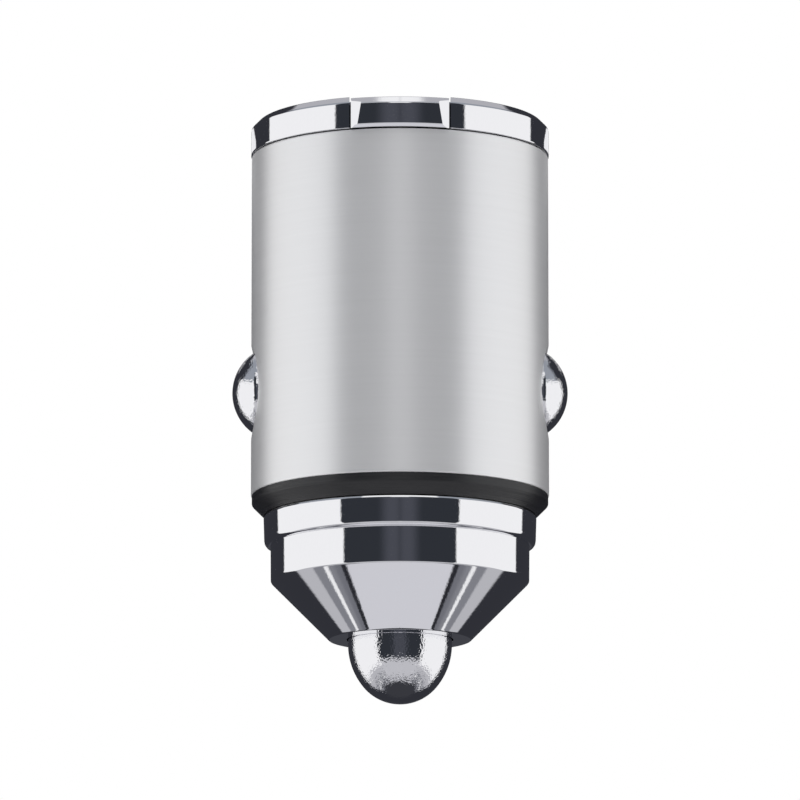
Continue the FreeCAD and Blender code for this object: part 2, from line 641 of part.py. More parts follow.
def usb_c_contacts():
    """Contacts on both faces of the tongue, as one group of separate strips."""
    strips = []
    first = -USB_C_CONTACT_PITCH * (USB_C_CONTACT_COUNT - 1) / 2
    for side in (1, -1):
        face = USB_C_Y + side * USB_C_TONGUE_THICKNESS / 2
        faces = sorted((face, face + side * USB_C_CONTACT_THICKNESS))
        for index in range(USB_C_CONTACT_COUNT):
            x = first + index * USB_C_CONTACT_PITCH
            strips.append(block(x - USB_C_CONTACT_WIDTH / 2, x + USB_C_CONTACT_WIDTH / 2,
                                faces[0], faces[1], USB_C_BASE + USB_C_BASE_THICKNESS,
                                SOCKET_TOP - USB_C_TONGUE_RECESS - USB_C_CONTACT_SETBACK))
    return Part.makeCompound(strips)


# Nose end
def insulator_collar():
    pin_hole = POSITIVE_PIN_RADIUS + POSITIVE_PIN_CLEARANCE
    return turned([
        (SPIGOT_RADIUS, COLLAR_UPPER_SPIGOT),
        (SPIGOT_RADIUS, 0),
        (COLLAR_RADIUS, 0),
        (COLLAR_RADIUS, -COLLAR_LAND),
        (COLLAR_CONE_RADIUS, COLLAR_CONE_Z),
        (COLLAR_LOWER_RADIUS, COLLAR_CONE_Z),
        (COLLAR_LOWER_RADIUS, COLLAR_LOWER_Z),
        (pin_hole, COLLAR_LOWER_Z),
        (pin_hole, COLLAR_UPPER_SPIGOT),
    ])


def nose_cap():
    return turned([
        (NOSE_TOP_RADIUS, NOSE_TOP_Z),
        (NOSE_STEP_RADIUS, NOSE_STEP_Z),
        (NOSE_NECK_RADIUS, NOSE_NECK_Z),
        (NOSE_NECK_RADIUS, NOSE_CONE_Z),
        (NOSE_END_RADIUS, NOSE_END_Z),
        (TIP_BORE_RADIUS, NOSE_END_Z),
        (TIP_BORE_RADIUS, TIP_SEAT_Z),
        (NOSE_CHAMBER_RADIUS, TIP_SEAT_Z),
        (NOSE_CHAMBER_RADIUS, NOSE_SOCKET_Z),
        (NOSE_SOCKET_RADIUS, NOSE_SOCKET_Z),
        (NOSE_SOCKET_RADIUS, NOSE_TOP_Z),
    ])


def tip_contact():
    point = TIP_DOME_Z - TIP_DOME_LENGTH
    body = lines([
        (TIP_RADIUS, TIP_DOME_Z),
        (TIP_RADIUS, TIP_SEAT_Z),
        (TIP_FLANGE_RADIUS, TIP_SEAT_Z),
        (TIP_FLANGE_RADIUS, TIP_FLANGE_TOP),
        (0, TIP_FLANGE_TOP),
        (0, point),
    ])
    return turned_edges(pointed_dome(TIP_RADIUS, TIP_DOME_Z, point, TIP_CROWN_RADIUS) + body)


def tip_spring():
    return coil(TIP_SPRING_RADIUS, TIP_SPRING_WIRE, TIP_SPRING_TURNS, TIP_FLANGE_TOP, TERMINAL_BASE)


def positive_terminal():
    return cylinder(TERMINAL_RADIUS, TERMINAL_BASE, COLLAR_LOWER_Z)


def positive_pin():
    return cylinder(POSITIVE_PIN_RADIUS, COLLAR_LOWER_Z, BOARD_BASE + POSITIVE_PIN_LAP)


# Side contacts
def side_contact(side):
    body = lines([
        (0, DOME_APEX),
        (0, CONTACT_FLANGE_BASE),
        (CONTACT_FLANGE_RADIUS, CONTACT_FLANGE_BASE),
        (CONTACT_FLANGE_RADIUS, CONTACT_FLANGE_TOP),
        (DOME_RADIUS, CONTACT_FLANGE_TOP),
        (DOME_RADIUS, DOME_RIM),
    ])
    half_way = math.asin(DOME_RADIUS / DOME_CROWN_RADIUS) / 2
    middle = vector(DOME_CROWN_RADIUS * math.sin(half_way), 0,
                    DOME_APEX - DOME_CROWN_RADIUS * (1 - math.cos(half_way)))
    crown = Part.Arc(vector(DOME_RADIUS, 0, DOME_RIM), middle, vector(0, 0, DOME_APEX)).toShape()
    return facing_side(turned_edges([crown] + body), side)


def side_spring(side):
    spring = coil(SIDE_SPRING_RADIUS, SIDE_SPRING_WIRE, SIDE_SPRING_TURNS,
                  BRACKET_PAD_X, CONTACT_FLANGE_BASE)
    return facing_side(spring, side)


# Chassis and its metalwork
def board_post(side):
    ends = sorted((side * (BOARD_HALF_WIDTH - POST_LAP), side * CHASSIS_HALF_X))
    front = BOARD_FRONT_Y - POST_WALL
    back = BOARD_BACK_Y + POST_WALL
    return block(ends[0], ends[1], front, back, CHASSIS_TOP, CHASSIS_TOP + POST_HEIGHT)


def inner_chassis():
    body = block(-CHASSIS_HALF_X, CHASSIS_HALF_X, -CHASSIS_HALF_Y, CHASSIS_HALF_Y,
                 CHASSIS_BASE, CHASSIS_TOP)
    body = body.fuse([board_post(side) for side in (1, -1)]).removeSplitter()
    cuts = [cylinder(POSITIVE_PIN_RADIUS + POSITIVE_PIN_CLEARANCE, CHASSIS_BASE, CHASSIS_TOP)]
    half = BRACKET_HALF_WIDTH + BRACKET_SLOT_CLEARANCE
    for side in (1, -1):
        cuts.append(facing_side(cylinder(POCKET_RADIUS, POCKET_FLOOR_X, REACH), side))
        slot = sorted((side * POCKET_FLOOR_X, side * (BRACKET_PAD_X + BRACKET_SLOT_CLEARANCE)))
        cuts.append(block(slot[0], slot[1], -half, half, CONTACT_HEIGHT, CHASSIS_TOP))
    reach = BOARD_HALF_WIDTH + BOARD_SLOT_CLEARANCE
    cuts.append(block(-reach, reach, BOARD_FRONT_Y - BOARD_SLOT_CLEARANCE,
                      BOARD_BACK_Y + BOARD_SLOT_CLEARANCE, CHASSIS_TOP, REACH))
    return body.cut(cuts)


def earth_bracket():
    """Folded strip: a bridge over the chassis and a leg with a round pad in each pocket."""
    half = BRACKET_HALF_WIDTH
    pieces = []
    for side in (1, -1):
        leg = sorted((side * POCKET_FLOOR_X, side * BRACKET_PAD_X))
        pieces.append(block(leg[0], leg[1], -half, half, CONTACT_HEIGHT, BOARD_BASE))
        pad = cylinder(BRACKET_PAD_RADIUS, POCKET_FLOOR_X, BRACKET_PAD_X)
        pieces.append(facing_side(pad, side))
    bridge = block(-BRACKET_PAD_X, BRACKET_PAD_X, -half, half, CHASSIS_TOP, BOARD_BASE)
    bridge = bridge.cut(cylinder(POSITIVE_PIN_RADIUS + BRACKET_HOLE_CLEARANCE, 0, REACH))
    return bridge.fuse(pieces).removeSplitter()


# Circuit board and the parts on it
def circuit_board():
    return block(-BOARD_HALF_WIDTH, BOARD_HALF_WIDTH, BOARD_FRONT_Y, BOARD_BACK_Y, BOARD_BASE, BOARD_TOP)


def power_inductor():
    half = INDUCTOR_WIDTH / 2
    core = block(INDUCTOR_X - half, INDUCTOR_X + half, BOARD_FRONT_Y - INDUCTOR_HEIGHT, BOARD_FRONT_Y,
                 PART_BASE, PART_BASE + INDUCTOR_WIDTH)
    corners = [e for e in core.Edges if abs(e.BoundBox.YLength - INDUCTOR_HEIGHT) < 1e-6]
    return core.makeChamfer(INDUCTOR_EDGE, corners)


def capacitor_can(radius, height, x):
    """Metal can with a bevelled end, standing on the board's front face."""
    shape = turned([
        (0, 0),
        (radius, 0),
        (radius, height - CAN_EDGE),
        (radius - CAN_EDGE, height),
        (0, height),
    ])
    shape.rotate(vector(0, 0, 0), vector(1, 0, 0), 90)
    shape.translate(vector(x, BOARD_FRONT_Y, PART_BASE + OUTPUT_CAN_RADIUS))
    return shape


def chip(x, width, depth, height, leads):
    """Flat chip on the board's back face, with leads along its upper and lower edges."""
    body = block(x - width / 2, x + width / 2, BOARD_BACK_Y, BOARD_BACK_Y + height,
                 PART_BASE, PART_BASE + depth)
    first = x - CHIP_LEAD_PITCH * (leads - 1) / 2
    legs = []
    for index in range(leads):
        middle = first + index * CHIP_LEAD_PITCH
        for z0 in (PART_BASE - CHIP_LEAD_LENGTH, PART_BASE + depth):
            legs.append(block(middle - CHIP_LEAD_WIDTH / 2, middle + CHIP_LEAD_WIDTH / 2,
                              BOARD_BACK_Y, BOARD_BACK_Y + CHIP_LEAD_THICKNESS,
                              z0, z0 + CHIP_LEAD_LENGTH))
    return body.fuse(legs)


def all_parts():
    return {
        "barrel_shell": barrel_shell(),
        "end_ring": end_ring(),
        "face_plate": face_plate(),
        "pull_handle": pull_handle(),
        "handle_pin_left": handle_pin(-1),
        "handle_pin_right": handle_pin(1),
        "usb_a_shell": usb_a_shell(),
        "usb_a_tongue": usb_a_tongue(),
        "usb_a_contacts": usb_a_contacts(),
        "usb_c_shell": usb_c_shell(),
        "usb_c_tongue": usb_c_tongue(),
        "usb_c_contacts": usb_c_contacts(),
        "led_lens": led_lens(),
        "status_led": status_led(),
        "circuit_board": circuit_board(),
        "power_inductor": power_inductor(),
        "output_capacitor": capacitor_can(OUTPUT_CAN_RADIUS, OUTPUT_CAN_HEIGHT, OUTPUT_CAN_X),
        "input_capacitor": capacitor_can(INPUT_CAN_RADIUS, INPUT_CAN_HEIGHT, INPUT_CAN_X),
        "controller_chip": chip(CONTROLLER_X, CONTROLLER_WIDTH, CONTROLLER_DEPTH, CONTROLLER_HEIGHT,
                                CONTROLLER_LEAD_COUNT),
        "switch_chip": chip(SWITCH_X, SWITCH_WIDTH, SWITCH_DEPTH, SWITCH_HEIGHT, SWITCH_LEAD_COUNT),
        "inner_chassis": inner_chassis(),
        "earth_bracket": earth_bracket(),
        "side_contact_left": side_contact(-1),
        "side_contact_right": side_contact(1),
        "side_spring_left": side_spring(-1),
        "side_spring_right": side_spring(1),
        "insulator_collar": insulator_collar(),
        "nose_cap": nose_cap(),
        "tip_contact": tip_contact(),
        "tip_spring": tip_spring(),
        "positive_terminal": positive_terminal(),
        "positive_pin": positive_pin(),
    }


os.makedirs("parts", exist_ok=True)
for name, shape in all_parts().items():
    shape.exportStep("parts/" + name + ".step")
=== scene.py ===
"""Flush car charger with two USB sockets and a fold-flat pull handle, dressed for close views.

Sizes in the classes are millimetres. Meshes are made in metres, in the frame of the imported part:
+Z towards the USB face, -Z to the tip, -Y to the nail tab of the pull handle.
"""

import logging
import math
from collections.abc import Callable
from dataclasses import dataclass
from enum import Enum
from functools import cache

import bmesh
import bpy
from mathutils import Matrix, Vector


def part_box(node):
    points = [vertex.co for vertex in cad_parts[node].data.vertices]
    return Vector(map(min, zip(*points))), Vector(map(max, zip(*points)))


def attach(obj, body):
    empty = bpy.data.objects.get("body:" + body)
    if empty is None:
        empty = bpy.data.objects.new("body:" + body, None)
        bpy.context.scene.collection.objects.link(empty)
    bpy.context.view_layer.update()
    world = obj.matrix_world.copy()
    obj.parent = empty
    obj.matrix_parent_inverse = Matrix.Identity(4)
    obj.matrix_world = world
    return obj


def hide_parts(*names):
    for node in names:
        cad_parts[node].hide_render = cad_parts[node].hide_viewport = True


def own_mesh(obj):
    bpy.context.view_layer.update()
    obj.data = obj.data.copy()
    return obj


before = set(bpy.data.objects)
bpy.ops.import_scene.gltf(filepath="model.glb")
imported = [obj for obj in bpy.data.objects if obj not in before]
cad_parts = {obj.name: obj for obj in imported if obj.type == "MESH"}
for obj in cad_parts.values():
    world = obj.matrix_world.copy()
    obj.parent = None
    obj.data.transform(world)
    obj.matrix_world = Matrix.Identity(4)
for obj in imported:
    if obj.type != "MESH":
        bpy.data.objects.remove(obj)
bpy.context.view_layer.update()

MM = 0.001
# Steps round a full circle, for turned pieces, side contacts, cutters and the light's hole
ROUND_STEPS = 224
DOME_STEPS = 160
CUTTER_STEPS = 96
LENS_STEPS = 48
# Steps in a rounded edge, and how far the support points beside it lie
EDGE_STEPS = 4
SUPPORT = 0.03
# How far a cutter reaches past what it cuts
CLEAR = 1.0
# Points nearer than this many metres become one
SAME_POINT = 1e-7
# A face is picked by a direction when its normal has at least this much of it
FACING = 0.9
SMOOTH_ANGLE = math.radians(32)
CONTACT_HEIGHT = 7.34
WHITE = "#ffffff"

Point = tuple[float, float]
Place = tuple[float, float, float]
Piece = bpy.types.Object
Tree = bpy.types.NodeTree
Socket = bpy.types.NodeSocket

log = logging.getLogger("charger")


class Side(Enum):
    """The two sides of the charger that carry a sprung earth contact."""

    LEFT = -1
    RIGHT = 1

    @property
    def word(self) -> str:
        """The side's name as used in node names."""
        return self.name.lower()


class Grain(Enum):
    """Surface patterns: how each is stretched along X, Y and Z, and its detail."""

    # Rings round the axis from the lathe tool
    TURNED = (0.02, 0.02, 1.0, 3.0)
    # Fine even grain from a mould, a press or a lacquer
    EVEN = (1.0, 1.0, 1.0, 3.0)
    # Faint wiping marks
    POLISHED = (1.0, 1.0, 0.6, 3.0)
    # Even dimples of fine bead blasting
    BLASTED = (1.0, 1.0, 1.0, 0.5)
    # Lines along the sheet
    ROLLED = (1.0, 1.0, 0.06, 3.0)


class Operation(Enum):
    """Ways to combine a piece with a tool solid."""

    CUT = "DIFFERENCE"
    JOIN = "UNION"
    COMMON = "INTERSECT"


def linear(colour: str) -> tuple[float, float, float, float]:
    """Turns an sRGB hex colour to linear red, green, blue and alpha.

    Args:
        colour: Six hex digits after a hash sign.

    Returns:
        Linear channel values with alpha 1.
    """
    channels = [int(colour[place:place + 2], 16) / 255 for place in (1, 3, 5)]
    toned = [c / 12.92 if c <= 0.04045 else ((c + 0.055) / 1.055) ** 2.4 for c in channels]
    return toned[0], toned[1], toned[2], 1.0


def add_node(tree: Tree, kind: str, inputs: dict | None = None, **settings) -> bpy.types.Node:
    """Adds one shader node.

    Args:
        tree: Node tree that gets the node.
        kind: Blender's name of the node type.
        inputs: Socket name or index to a value, or to another node's output to link from.
        settings: Attributes of the node itself.

    Returns:
        The new node.
    """
    node = tree.nodes.new(kind)
    for name, value in settings.items():
        setattr(node, name, value)
    for socket, value in (inputs or {}).items():
        if isinstance(value, Socket):
            tree.links.new(value, node.inputs[socket])
        else:
            node.inputs[socket].default_value = value
    return node


def calculate(tree: Tree, operation: str, *values: float | Socket) -> Socket:
    """Adds a node that works out a sum, product or angle, and gives its result."""
    return add_node(tree, "ShaderNodeMath", dict(enumerate(values)), operation=operation).outputs[0]


def blend(tree: Tree, share: Socket, first: Socket, second: Socket) -> Socket:
    """Adds a node that goes from one shader to another by a share, and gives its result."""
    return add_node(tree, "ShaderNodeMixShader", {0: share, 1: first, 2: second}).outputs[0]


def glow(tree: Tree, colour: str, strength: float = 1.0) -> Socket:
    """Adds a node that shines in an sRGB hex colour, and gives its result."""
    return add_node(tree, "ShaderNodeEmission", {
        "Color": linear(colour), "Strength": strength}).outputs[0]


def empty_tree(owner: bpy.types.Material | bpy.types.World) -> Tree:
    """Switches a material or world to nodes.

    Args:
        owner: The material or world.

    Returns:
        Its node tree, with nothing in it.
    """
    owner.use_nodes = True
    owner.node_tree.nodes.clear()
    return owner.node_tree


@dataclass(frozen=True)
class Finish:
    """One real surface finish and the numbers that draw it.

    The pattern's pitch is a real size in millimetres, drawn no finer than the render can show.
    """

    name: str
    colour: str
    grain: Grain
    pitch: float
    depth: float
    roughness: float
    roughness_range: float = 0.04
    metallic: float = 0.0
    tint: float = 0.0
    transmission: float = 0.0
    coat: float = 0.0
    anisotropy: float = 0.0
    shine: float = 0.5

    NOISE_ROUGHNESS = 0.55
    NOISE_RANGE = (0.3, 0.7)
    QUARTER_TURN = 0.25

    @cache
    def material(self) -> bpy.types.Material:
        """Draws the finish at the first call, and gives the same material again after that.

        Returns:
            The finish's material.
        """
        material = bpy.data.materials.new(self.name)
        tree = empty_tree(material)
        pattern = self.pattern(tree)
        roughness = add_node(tree, "ShaderNodeMapRange", {
            "Value": pattern,
            "To Min": self.roughness - self.roughness_range / 2,
            "To Max": self.roughness + self.roughness_range / 2,
        })
        base = linear(self.colour)
        darker = tuple(c * (1 - self.tint) for c in base[:3]) + (1.0,)
        colour = add_node(tree, "ShaderNodeMix", {"Factor": pattern, "A": darker, "B": base},
                          data_type="RGBA")
        shader = add_node(tree, "ShaderNodeBsdfPrincipled", {
            "Base Color": colour.outputs["Result"],
            "Roughness": roughness.outputs["Result"],
            "Metallic": self.metallic,
            "Transmission Weight": self.transmission,
            "Coat Weight": self.coat,
            "Anisotropic": self.anisotropy,
            "Specular IOR Level": self.shine,
        })
        if self.anisotropy > 0:
            around = add_node(tree, "ShaderNodeTangent", direction_type="RADIAL", axis="Z")
            tree.links.new(around.outputs["Tangent"], shader.inputs["Tangent"])
            shader.inputs["Anisotropic Rotation"].default_value = self.QUARTER_TURN
        if self.depth > 0:
            bump = add_node(tree, "ShaderNodeBump", {
                "Height": pattern, "Strength": 1.0, "Distance": self.depth * MM})
            tree.links.new(bump.outputs["Normal"], shader.inputs["Normal"])
        add_node(tree, "ShaderNodeOutputMaterial", {"Surface": shader.outputs["BSDF"]})
        return material

    def pattern(self, tree: Tree) -> Socket:
        """Adds the nodes of the grain.

        Args:
            tree: Node tree that gets the nodes.

        Returns:
            A socket that runs from 0 to 1 over the pattern.
        """
        per_metre = 1 / (self.pitch * MM)
        *stretch, detail = self.grain.value
        place = add_node(tree, "ShaderNodeTexCoord")
        scaled = add_node(tree, "ShaderNodeMapping", {
            "Vector": place.outputs["Object"], "Scale": tuple(s * per_metre for s in stretch)})
        noise = add_node(tree, "ShaderNodeTexNoise", {
            "Vector": scaled.outputs["Vector"], "Scale": 1.0, "Detail": detail,
            "Roughness": self.NOISE_ROUGHNESS})
        low, high = self.NOISE_RANGE
        return add_node(tree, "ShaderNodeMapRange", {
            "Value": noise.outputs["Fac"], "From Min": low, "From Max": high}).outputs["Result"]


# Satin anodised aluminium, turned: broad soft highlights under an oxide skin that scatters a little
ANODISED = Finish("satin_anodised_aluminium", "#f6f6f7", Grain.TURNED, 0.22, 0.0004, 0.46, 0.03,
                  metallic=0.75, tint=0.02, anisotropy=0.72)
# Nickel-chrome plate over brass, polished: mirror reflections with faint wiping marks
CHROME = Finish("polished_chrome_plate", "#eeeef1", Grain.POLISHED, 0.17, 0.0005, 0.04, 0.02,
                metallic=1.0, tint=0.01)
# The same plate over a blasted base, on the sprung contacts: mirror with a fine frosting
FROSTED_CHROME = Finish("frosted_chrome_plate", "#eeeef1", Grain.BLASTED, 0.12, 0.0060, 0.04, 0.02,
                        metallic=1.0, tint=0.01)
# Glass-filled nylon, turned after moulding: near-black with fine rings
COLLAR_NYLON = Finish("black_glass_filled_nylon", "#161619", Grain.TURNED, 0.15, 0.022, 0.46, 0.12,
                      tint=0.50, anisotropy=0.88, shine=0.85)
# Black ABS, spark-eroded mould: fine matt grain
PLATE_ABS = Finish("black_matt_abs", "#141416", Grain.EVEN, 0.16, 0.012, 0.48, 0.10, tint=0.20)
# Black liquid-crystal polymer of connector tongues: slightly shiny
TONGUE_LCP = Finish("black_connector_plastic", "#1d1d20", Grain.EVEN, 0.20, 0.005, 0.38, 0.06,
                    tint=0.15)
# Nickel-plated rolled steel of connector shells and brackets
SHELL_STEEL = Finish("nickel_plated_sheet_steel", "#c9c8c4", Grain.ROLLED, 0.14, 0.0003, 0.24, 0.05,
                     metallic=1.0, tint=0.04)
# Drawn spring wire, bright
SPRING_WIRE = Finish("drawn_spring_wire", "#b4b3b0", Grain.ROLLED, 0.10, 0.002, 0.30, 0.08,
                     metallic=1.0, tint=0.08)
# Hard gold flash on contact strips and terminals
CONTACT_GOLD = Finish("hard_gold_flash", "#e2b968", Grain.POLISHED, 1.2, 0.0, 0.20, 0.08,
                      metallic=1.0, tint=0.05)
# Green solder mask over glass-epoxy laminate
SOLDER_MASK = Finish("green_solder_mask", "#14502f", Grain.EVEN, 0.55, 0.004, 0.34, 0.08,
                     tint=0.35, coat=0.3)
# Epoxy chip packages, moulded
CHIP_EPOXY = Finish("black_chip_epoxy", "#1b1b1c", Grain.EVEN, 0.12, 0.008, 0.62, 0.08, tint=0.25)
# Pressed ferrite core of the inductor
FERRITE = Finish("pressed_ferrite", "#35363a", Grain.EVEN, 0.30, 0.02, 0.66, 0.10, tint=0.30)
# Drawn aluminium can of the capacitors
CAN_ALUMINIUM = Finish("drawn_can_aluminium", "#cfcfd0", Grain.ROLLED, 0.20, 0.002, 0.28, 0.06,
                       metallic=1.0, tint=0.04)
# Milky clear acrylic light guide
LENS_ACRYLIC = Finish("milky_acrylic", "#e6eef6", Grain.EVEN, 0.30, 0.001, 0.18, 0.03,
                      tint=0.02, transmission=0.35)


@dataclass(frozen=True)
class Corner:
    """One corner of a turned outline: its radius and height, and how far its rounding reaches."""

    radius: float
    height: float
    edge: float = 0.0


def dome_points(rim: Corner, apex: float, crown: float, steps: int) -> list[Point]:
    """Works out a dome's outline as a flank arc and a crown arc that meet smoothly.

    Args:
        rim: The dome's rim, where the flank starts straight up.
        apex: Height of the top on the axis.
        crown: Radius of the crown arc.
        steps: Steps in each arc.

    Returns:
        The outline's points after the rim.
    """
    top = math.copysign(math.pi / 2, apex - rim.height)
    centre = apex - math.copysign(crown, top)
    drop = centre - rim.height
    flank = (rim.radius ** 2 + drop ** 2 - crown ** 2) / (2 * (rim.radius - crown))
    side = rim.radius - flank
    sign = math.copysign(1, flank - crown)
    meet = math.atan2(sign * drop, -sign * side)
    points = []
    for middle, height, radius, first, last in ((side, rim.height, flank, 0, meet),
                                                (0, centre, crown, meet, top)):
        for step in range(1, steps + 1):
            angle = first + (last - first) * step / steps
            points.append((middle + radius * math.cos(angle), height + radius * math.sin(angle)))
    return points


def select_only(piece: Piece | None = None) -> None:
    """Leaves edit mode, and makes one piece or none the selected and active one.

    Args:
        piece: Piece to work on, or none before something is added.
    """
    if bpy.context.object and bpy.context.object.mode != "OBJECT":
        bpy.ops.object.mode_set(mode="OBJECT")
    bpy.ops.object.select_all(action="DESELECT")
    if piece:
        piece.select_set(True)
        bpy.context.view_layer.objects.active = piece


def choose(piece: Piece, kind: str, test: Callable) -> bmesh.types.BMesh:
    """Selects a piece's faces or edges by place or direction, in edit mode.

    Args:
        piece: Piece in edit mode.
        kind: FACE or EDGE.
        test: Says of a face or edge whether it is wanted.

    Returns:
        The piece's mesh in edit mode.
    """
    bpy.ops.mesh.select_mode(type=kind)
    bpy.ops.mesh.select_all(action="DESELECT")
    mesh = bmesh.from_edit_mesh(piece.data)
    for part in (mesh.faces if kind == "FACE" else mesh.edges):
        if test(part):
            part.select_set(True)
    bmesh.update_edit_mesh(piece.data)
    return mesh


def rounded(corners: list[Corner], closed: bool) -> list[Point]:
    """Rounds an outline's corners and adds support points beside each rounding.

    Args:
        corners: Corners in order.
        closed: Whether the last corner joins the first.

    Returns:
        Points of the finished outline.
    """
    points: list[Point] = []
    count = len(corners)
    for index, corner in enumerate(corners):
        here = Vector((corner.radius, corner.height))
        at_end = not closed and index in (0, count - 1)
        if corner.edge <= 0 or at_end:
            points.append((here.x, here.y))
            continue
        before = corners[index - 1]
        after = corners[(index + 1) % count]
        back = Vector((before.radius, before.height)) - here
        ahead = Vector((after.radius, after.height)) - here
        start = here + back.normalized() * corner.edge
        stop = here + ahead.normalized() * corner.edge
        room = corner.edge + SUPPORT
        if back.length > room + before.edge + SUPPORT:
            points.append(tuple(here + back.normalized() * room))
        for step in range(EDGE_STEPS + 1):
            share = step / EDGE_STEPS
            rest = 1 - share
            points.append(tuple(start * rest * rest + here * 2 * share * rest
                                + stop * share * share))
        if ahead.length > room + after.edge + SUPPORT:
            points.append(tuple(here + ahead.normalized() * room))
    return points


def lathe(name: str, corners: list[Corner], dome: list[Point] | None = None,
          closed: bool = True, steps: int = ROUND_STEPS) -> Piece:
    """Rounds an outline's corners and spins it round the Z axis.

    Args:
        name: Name of the piece.
        corners: The outline's corners in order.
        dome: Points that follow the corners of an open outline.
        closed: Whether the outline's end joins its start.
        steps: Steps round the circle.

    Returns:
        The turned piece, as one closed mesh.
    """
    points = rounded(corners, closed) + (dome or [])
    select_only()
    bpy.ops.mesh.primitive_plane_add(size=MM, location=(0, 0, 0))
    piece = bpy.context.object
    piece.name = name
    piece.data.name = name
    bpy.ops.object.mode_set(mode="EDIT")
    bpy.ops.mesh.select_mode(type="VERT")
    bpy.ops.mesh.select_all(action="SELECT")
    bpy.ops.mesh.merge(type="CENTER")
    bpy.ops.transform.translate(value=(points[0][0] * MM, 0, points[0][1] * MM))
    for before, after in zip(points, points[1:]):
        extrude(after[0] - before[0], 0, after[1] - before[1])
    bpy.ops.mesh.select_all(action="SELECT")
    if closed:
        mesh = bmesh.from_edit_mesh(piece.data)
        mesh.edges.new([v for v in mesh.verts if len(v.link_edges) == 1])
        bmesh.update_edit_mesh(piece.data)
        bpy.ops.mesh.select_all(action="SELECT")
    bpy.ops.mesh.spin(steps=steps, angle=math.tau, center=(0, 0, 0), axis=(0, 0, 1))
    close_up()
    return piece


def extrude(across: float, along: float, up: float) -> None:
    """Extrudes what is selected by a shift in millimetres."""
    shift = (across * MM, along * MM, up * MM)
    bpy.ops.mesh.extrude_region_move(TRANSFORM_OT_translate={"value": shift})


def close_up() -> None:
    """Merges doubles, points the faces outwards and leaves edit mode."""
    bpy.ops.mesh.select_all(action="SELECT")
    bpy.ops.mesh.remove_doubles(threshold=SAME_POINT)
    bpy.ops.mesh.normals_make_consistent(inside=False)
    bpy.ops.object.mode_set(mode="OBJECT")


def box(low: Place, high: Place) -> Piece:
    """Adds a block between two corners.

    Args:
        low: Lowest corner.
        high: Highest corner.

    Returns:
        The block, with its place in its mesh.
    """
    select_only()
    size = Vector(high) - Vector(low)
    middle = (Vector(high) + Vector(low)) / 2
    bpy.ops.mesh.primitive_cube_add(size=1, location=middle * MM, scale=size * MM)
    block = bpy.context.object
    bpy.ops.object.transform_apply()
    return block


def rod(radius: float, low: float, high: float, at: Point = (0.0, 0.0),
        steps: int = CUTTER_STEPS, across: bool = False) -> Piece:
    """Adds a round rod along Z or X.

    Args:
        radius: Radius of the rod.
        low: Where it begins along its axis.
        high: Where it ends.
        at: X and Y of a rod along Z, or Y and Z of one along X.
        steps: Sides of the rod.
        across: Whether it lies along X.

    Returns:
        The rod, with its place in its mesh.
    """
    select_only()
    middle = (low + high) / 2
    place = (middle, *at) if across else (*at, middle)
    bpy.ops.mesh.primitive_cylinder_add(
        vertices=steps, radius=radius * MM, depth=(high - low) * MM,
        location=Vector(place) * MM, rotation=(0, math.pi / 2 if across else 0, 0))
    bpy.ops.object.transform_apply()
    return bpy.context.object


def cross_rod(radius: float, low: float, high: float, height: float) -> Piece:
    """Adds a round rod along X that crosses the Z axis at a height."""
    return rod(radius, low, high, (0.0, height), across=True)


def keep_front(piece: Piece, line: float) -> Piece:
    """Cuts away all of a piece that lies behind a line, and closes the cut.

    Args:
        piece: Piece to cut.
        line: Y of the cut.

    Returns:
        The same piece.
    """
    select_only(piece)
    bpy.ops.object.mode_set(mode="EDIT")
    bpy.ops.mesh.select_all(action="SELECT")
    bpy.ops.mesh.bisect(plane_co=(0, line * MM, 0), plane_no=(0, 1, 0), use_fill=True,
                        clear_outer=True)
    close_up()
    return piece


def combine(piece: Piece, tool: Piece, operation: Operation) -> Piece:
    """Cuts, joins or intersects a piece with a tool solid, which is then removed.

    Args:
        piece: Piece that stays.
        tool: Solid that is used up.
        operation: How they are combined.

    Returns:
        The same piece.
    """
    select_only(piece)
    modifier = piece.modifiers.new(operation.name.lower(), "BOOLEAN")
    modifier.operation = operation.value
    modifier.solver = "EXACT"
    modifier.object = tool
    bpy.ops.object.modifier_apply(modifier=modifier.name)
    bpy.data.objects.remove(tool)
    return piece


def cut(piece: Piece, *tools: Piece) -> Piece:
    """Cuts a piece with tool solids, which are used up.

    Args:
        piece: Piece to cut.
        tools: Solids to cut it with, one after another.

    Returns:
        The same piece.
    """
    for tool in tools:
        combine(piece, tool, Operation.CUT)
    return piece


def settle(piece: Piece, turn: Place, shift: Place) -> Piece:
    """Turns and shifts a piece, and puts its place in its mesh.

    Args:
        piece: Piece to place.
        turn: Turns round X, Y and Z in radians.
        shift: Shift in millimetres.

    Returns:
        The same piece.
    """
    select_only(piece)
    piece.rotation_euler = turn
    piece.location = Vector(shift) * MM
    bpy.ops.object.transform_apply()
    return piece


def dress(piece: Piece, name: str, finish: Finish, node: str,
          body: str = "root") -> Piece:
    """Names, shades, dresses and seats a finished piece.

    Args:
        piece: The piece.
        name: Its final name.
        finish: Its only finish.
        node: Node that it stands for.
        body: Body that it rides on.

    Returns:
        The same piece.
    """
    select_only(piece)
    piece.name = name
    piece.data.name = name
    piece.data.materials.clear()
    piece.data.materials.append(finish.material())
    bpy.ops.object.shade_smooth_by_angle(angle=SMOOTH_ANGLE)
    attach(piece, body)
    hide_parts(node)
    log.info("%s: %d faces, rides on %s, stands for %s", name, len(piece.data.polygons),
             body, node)
    return piece


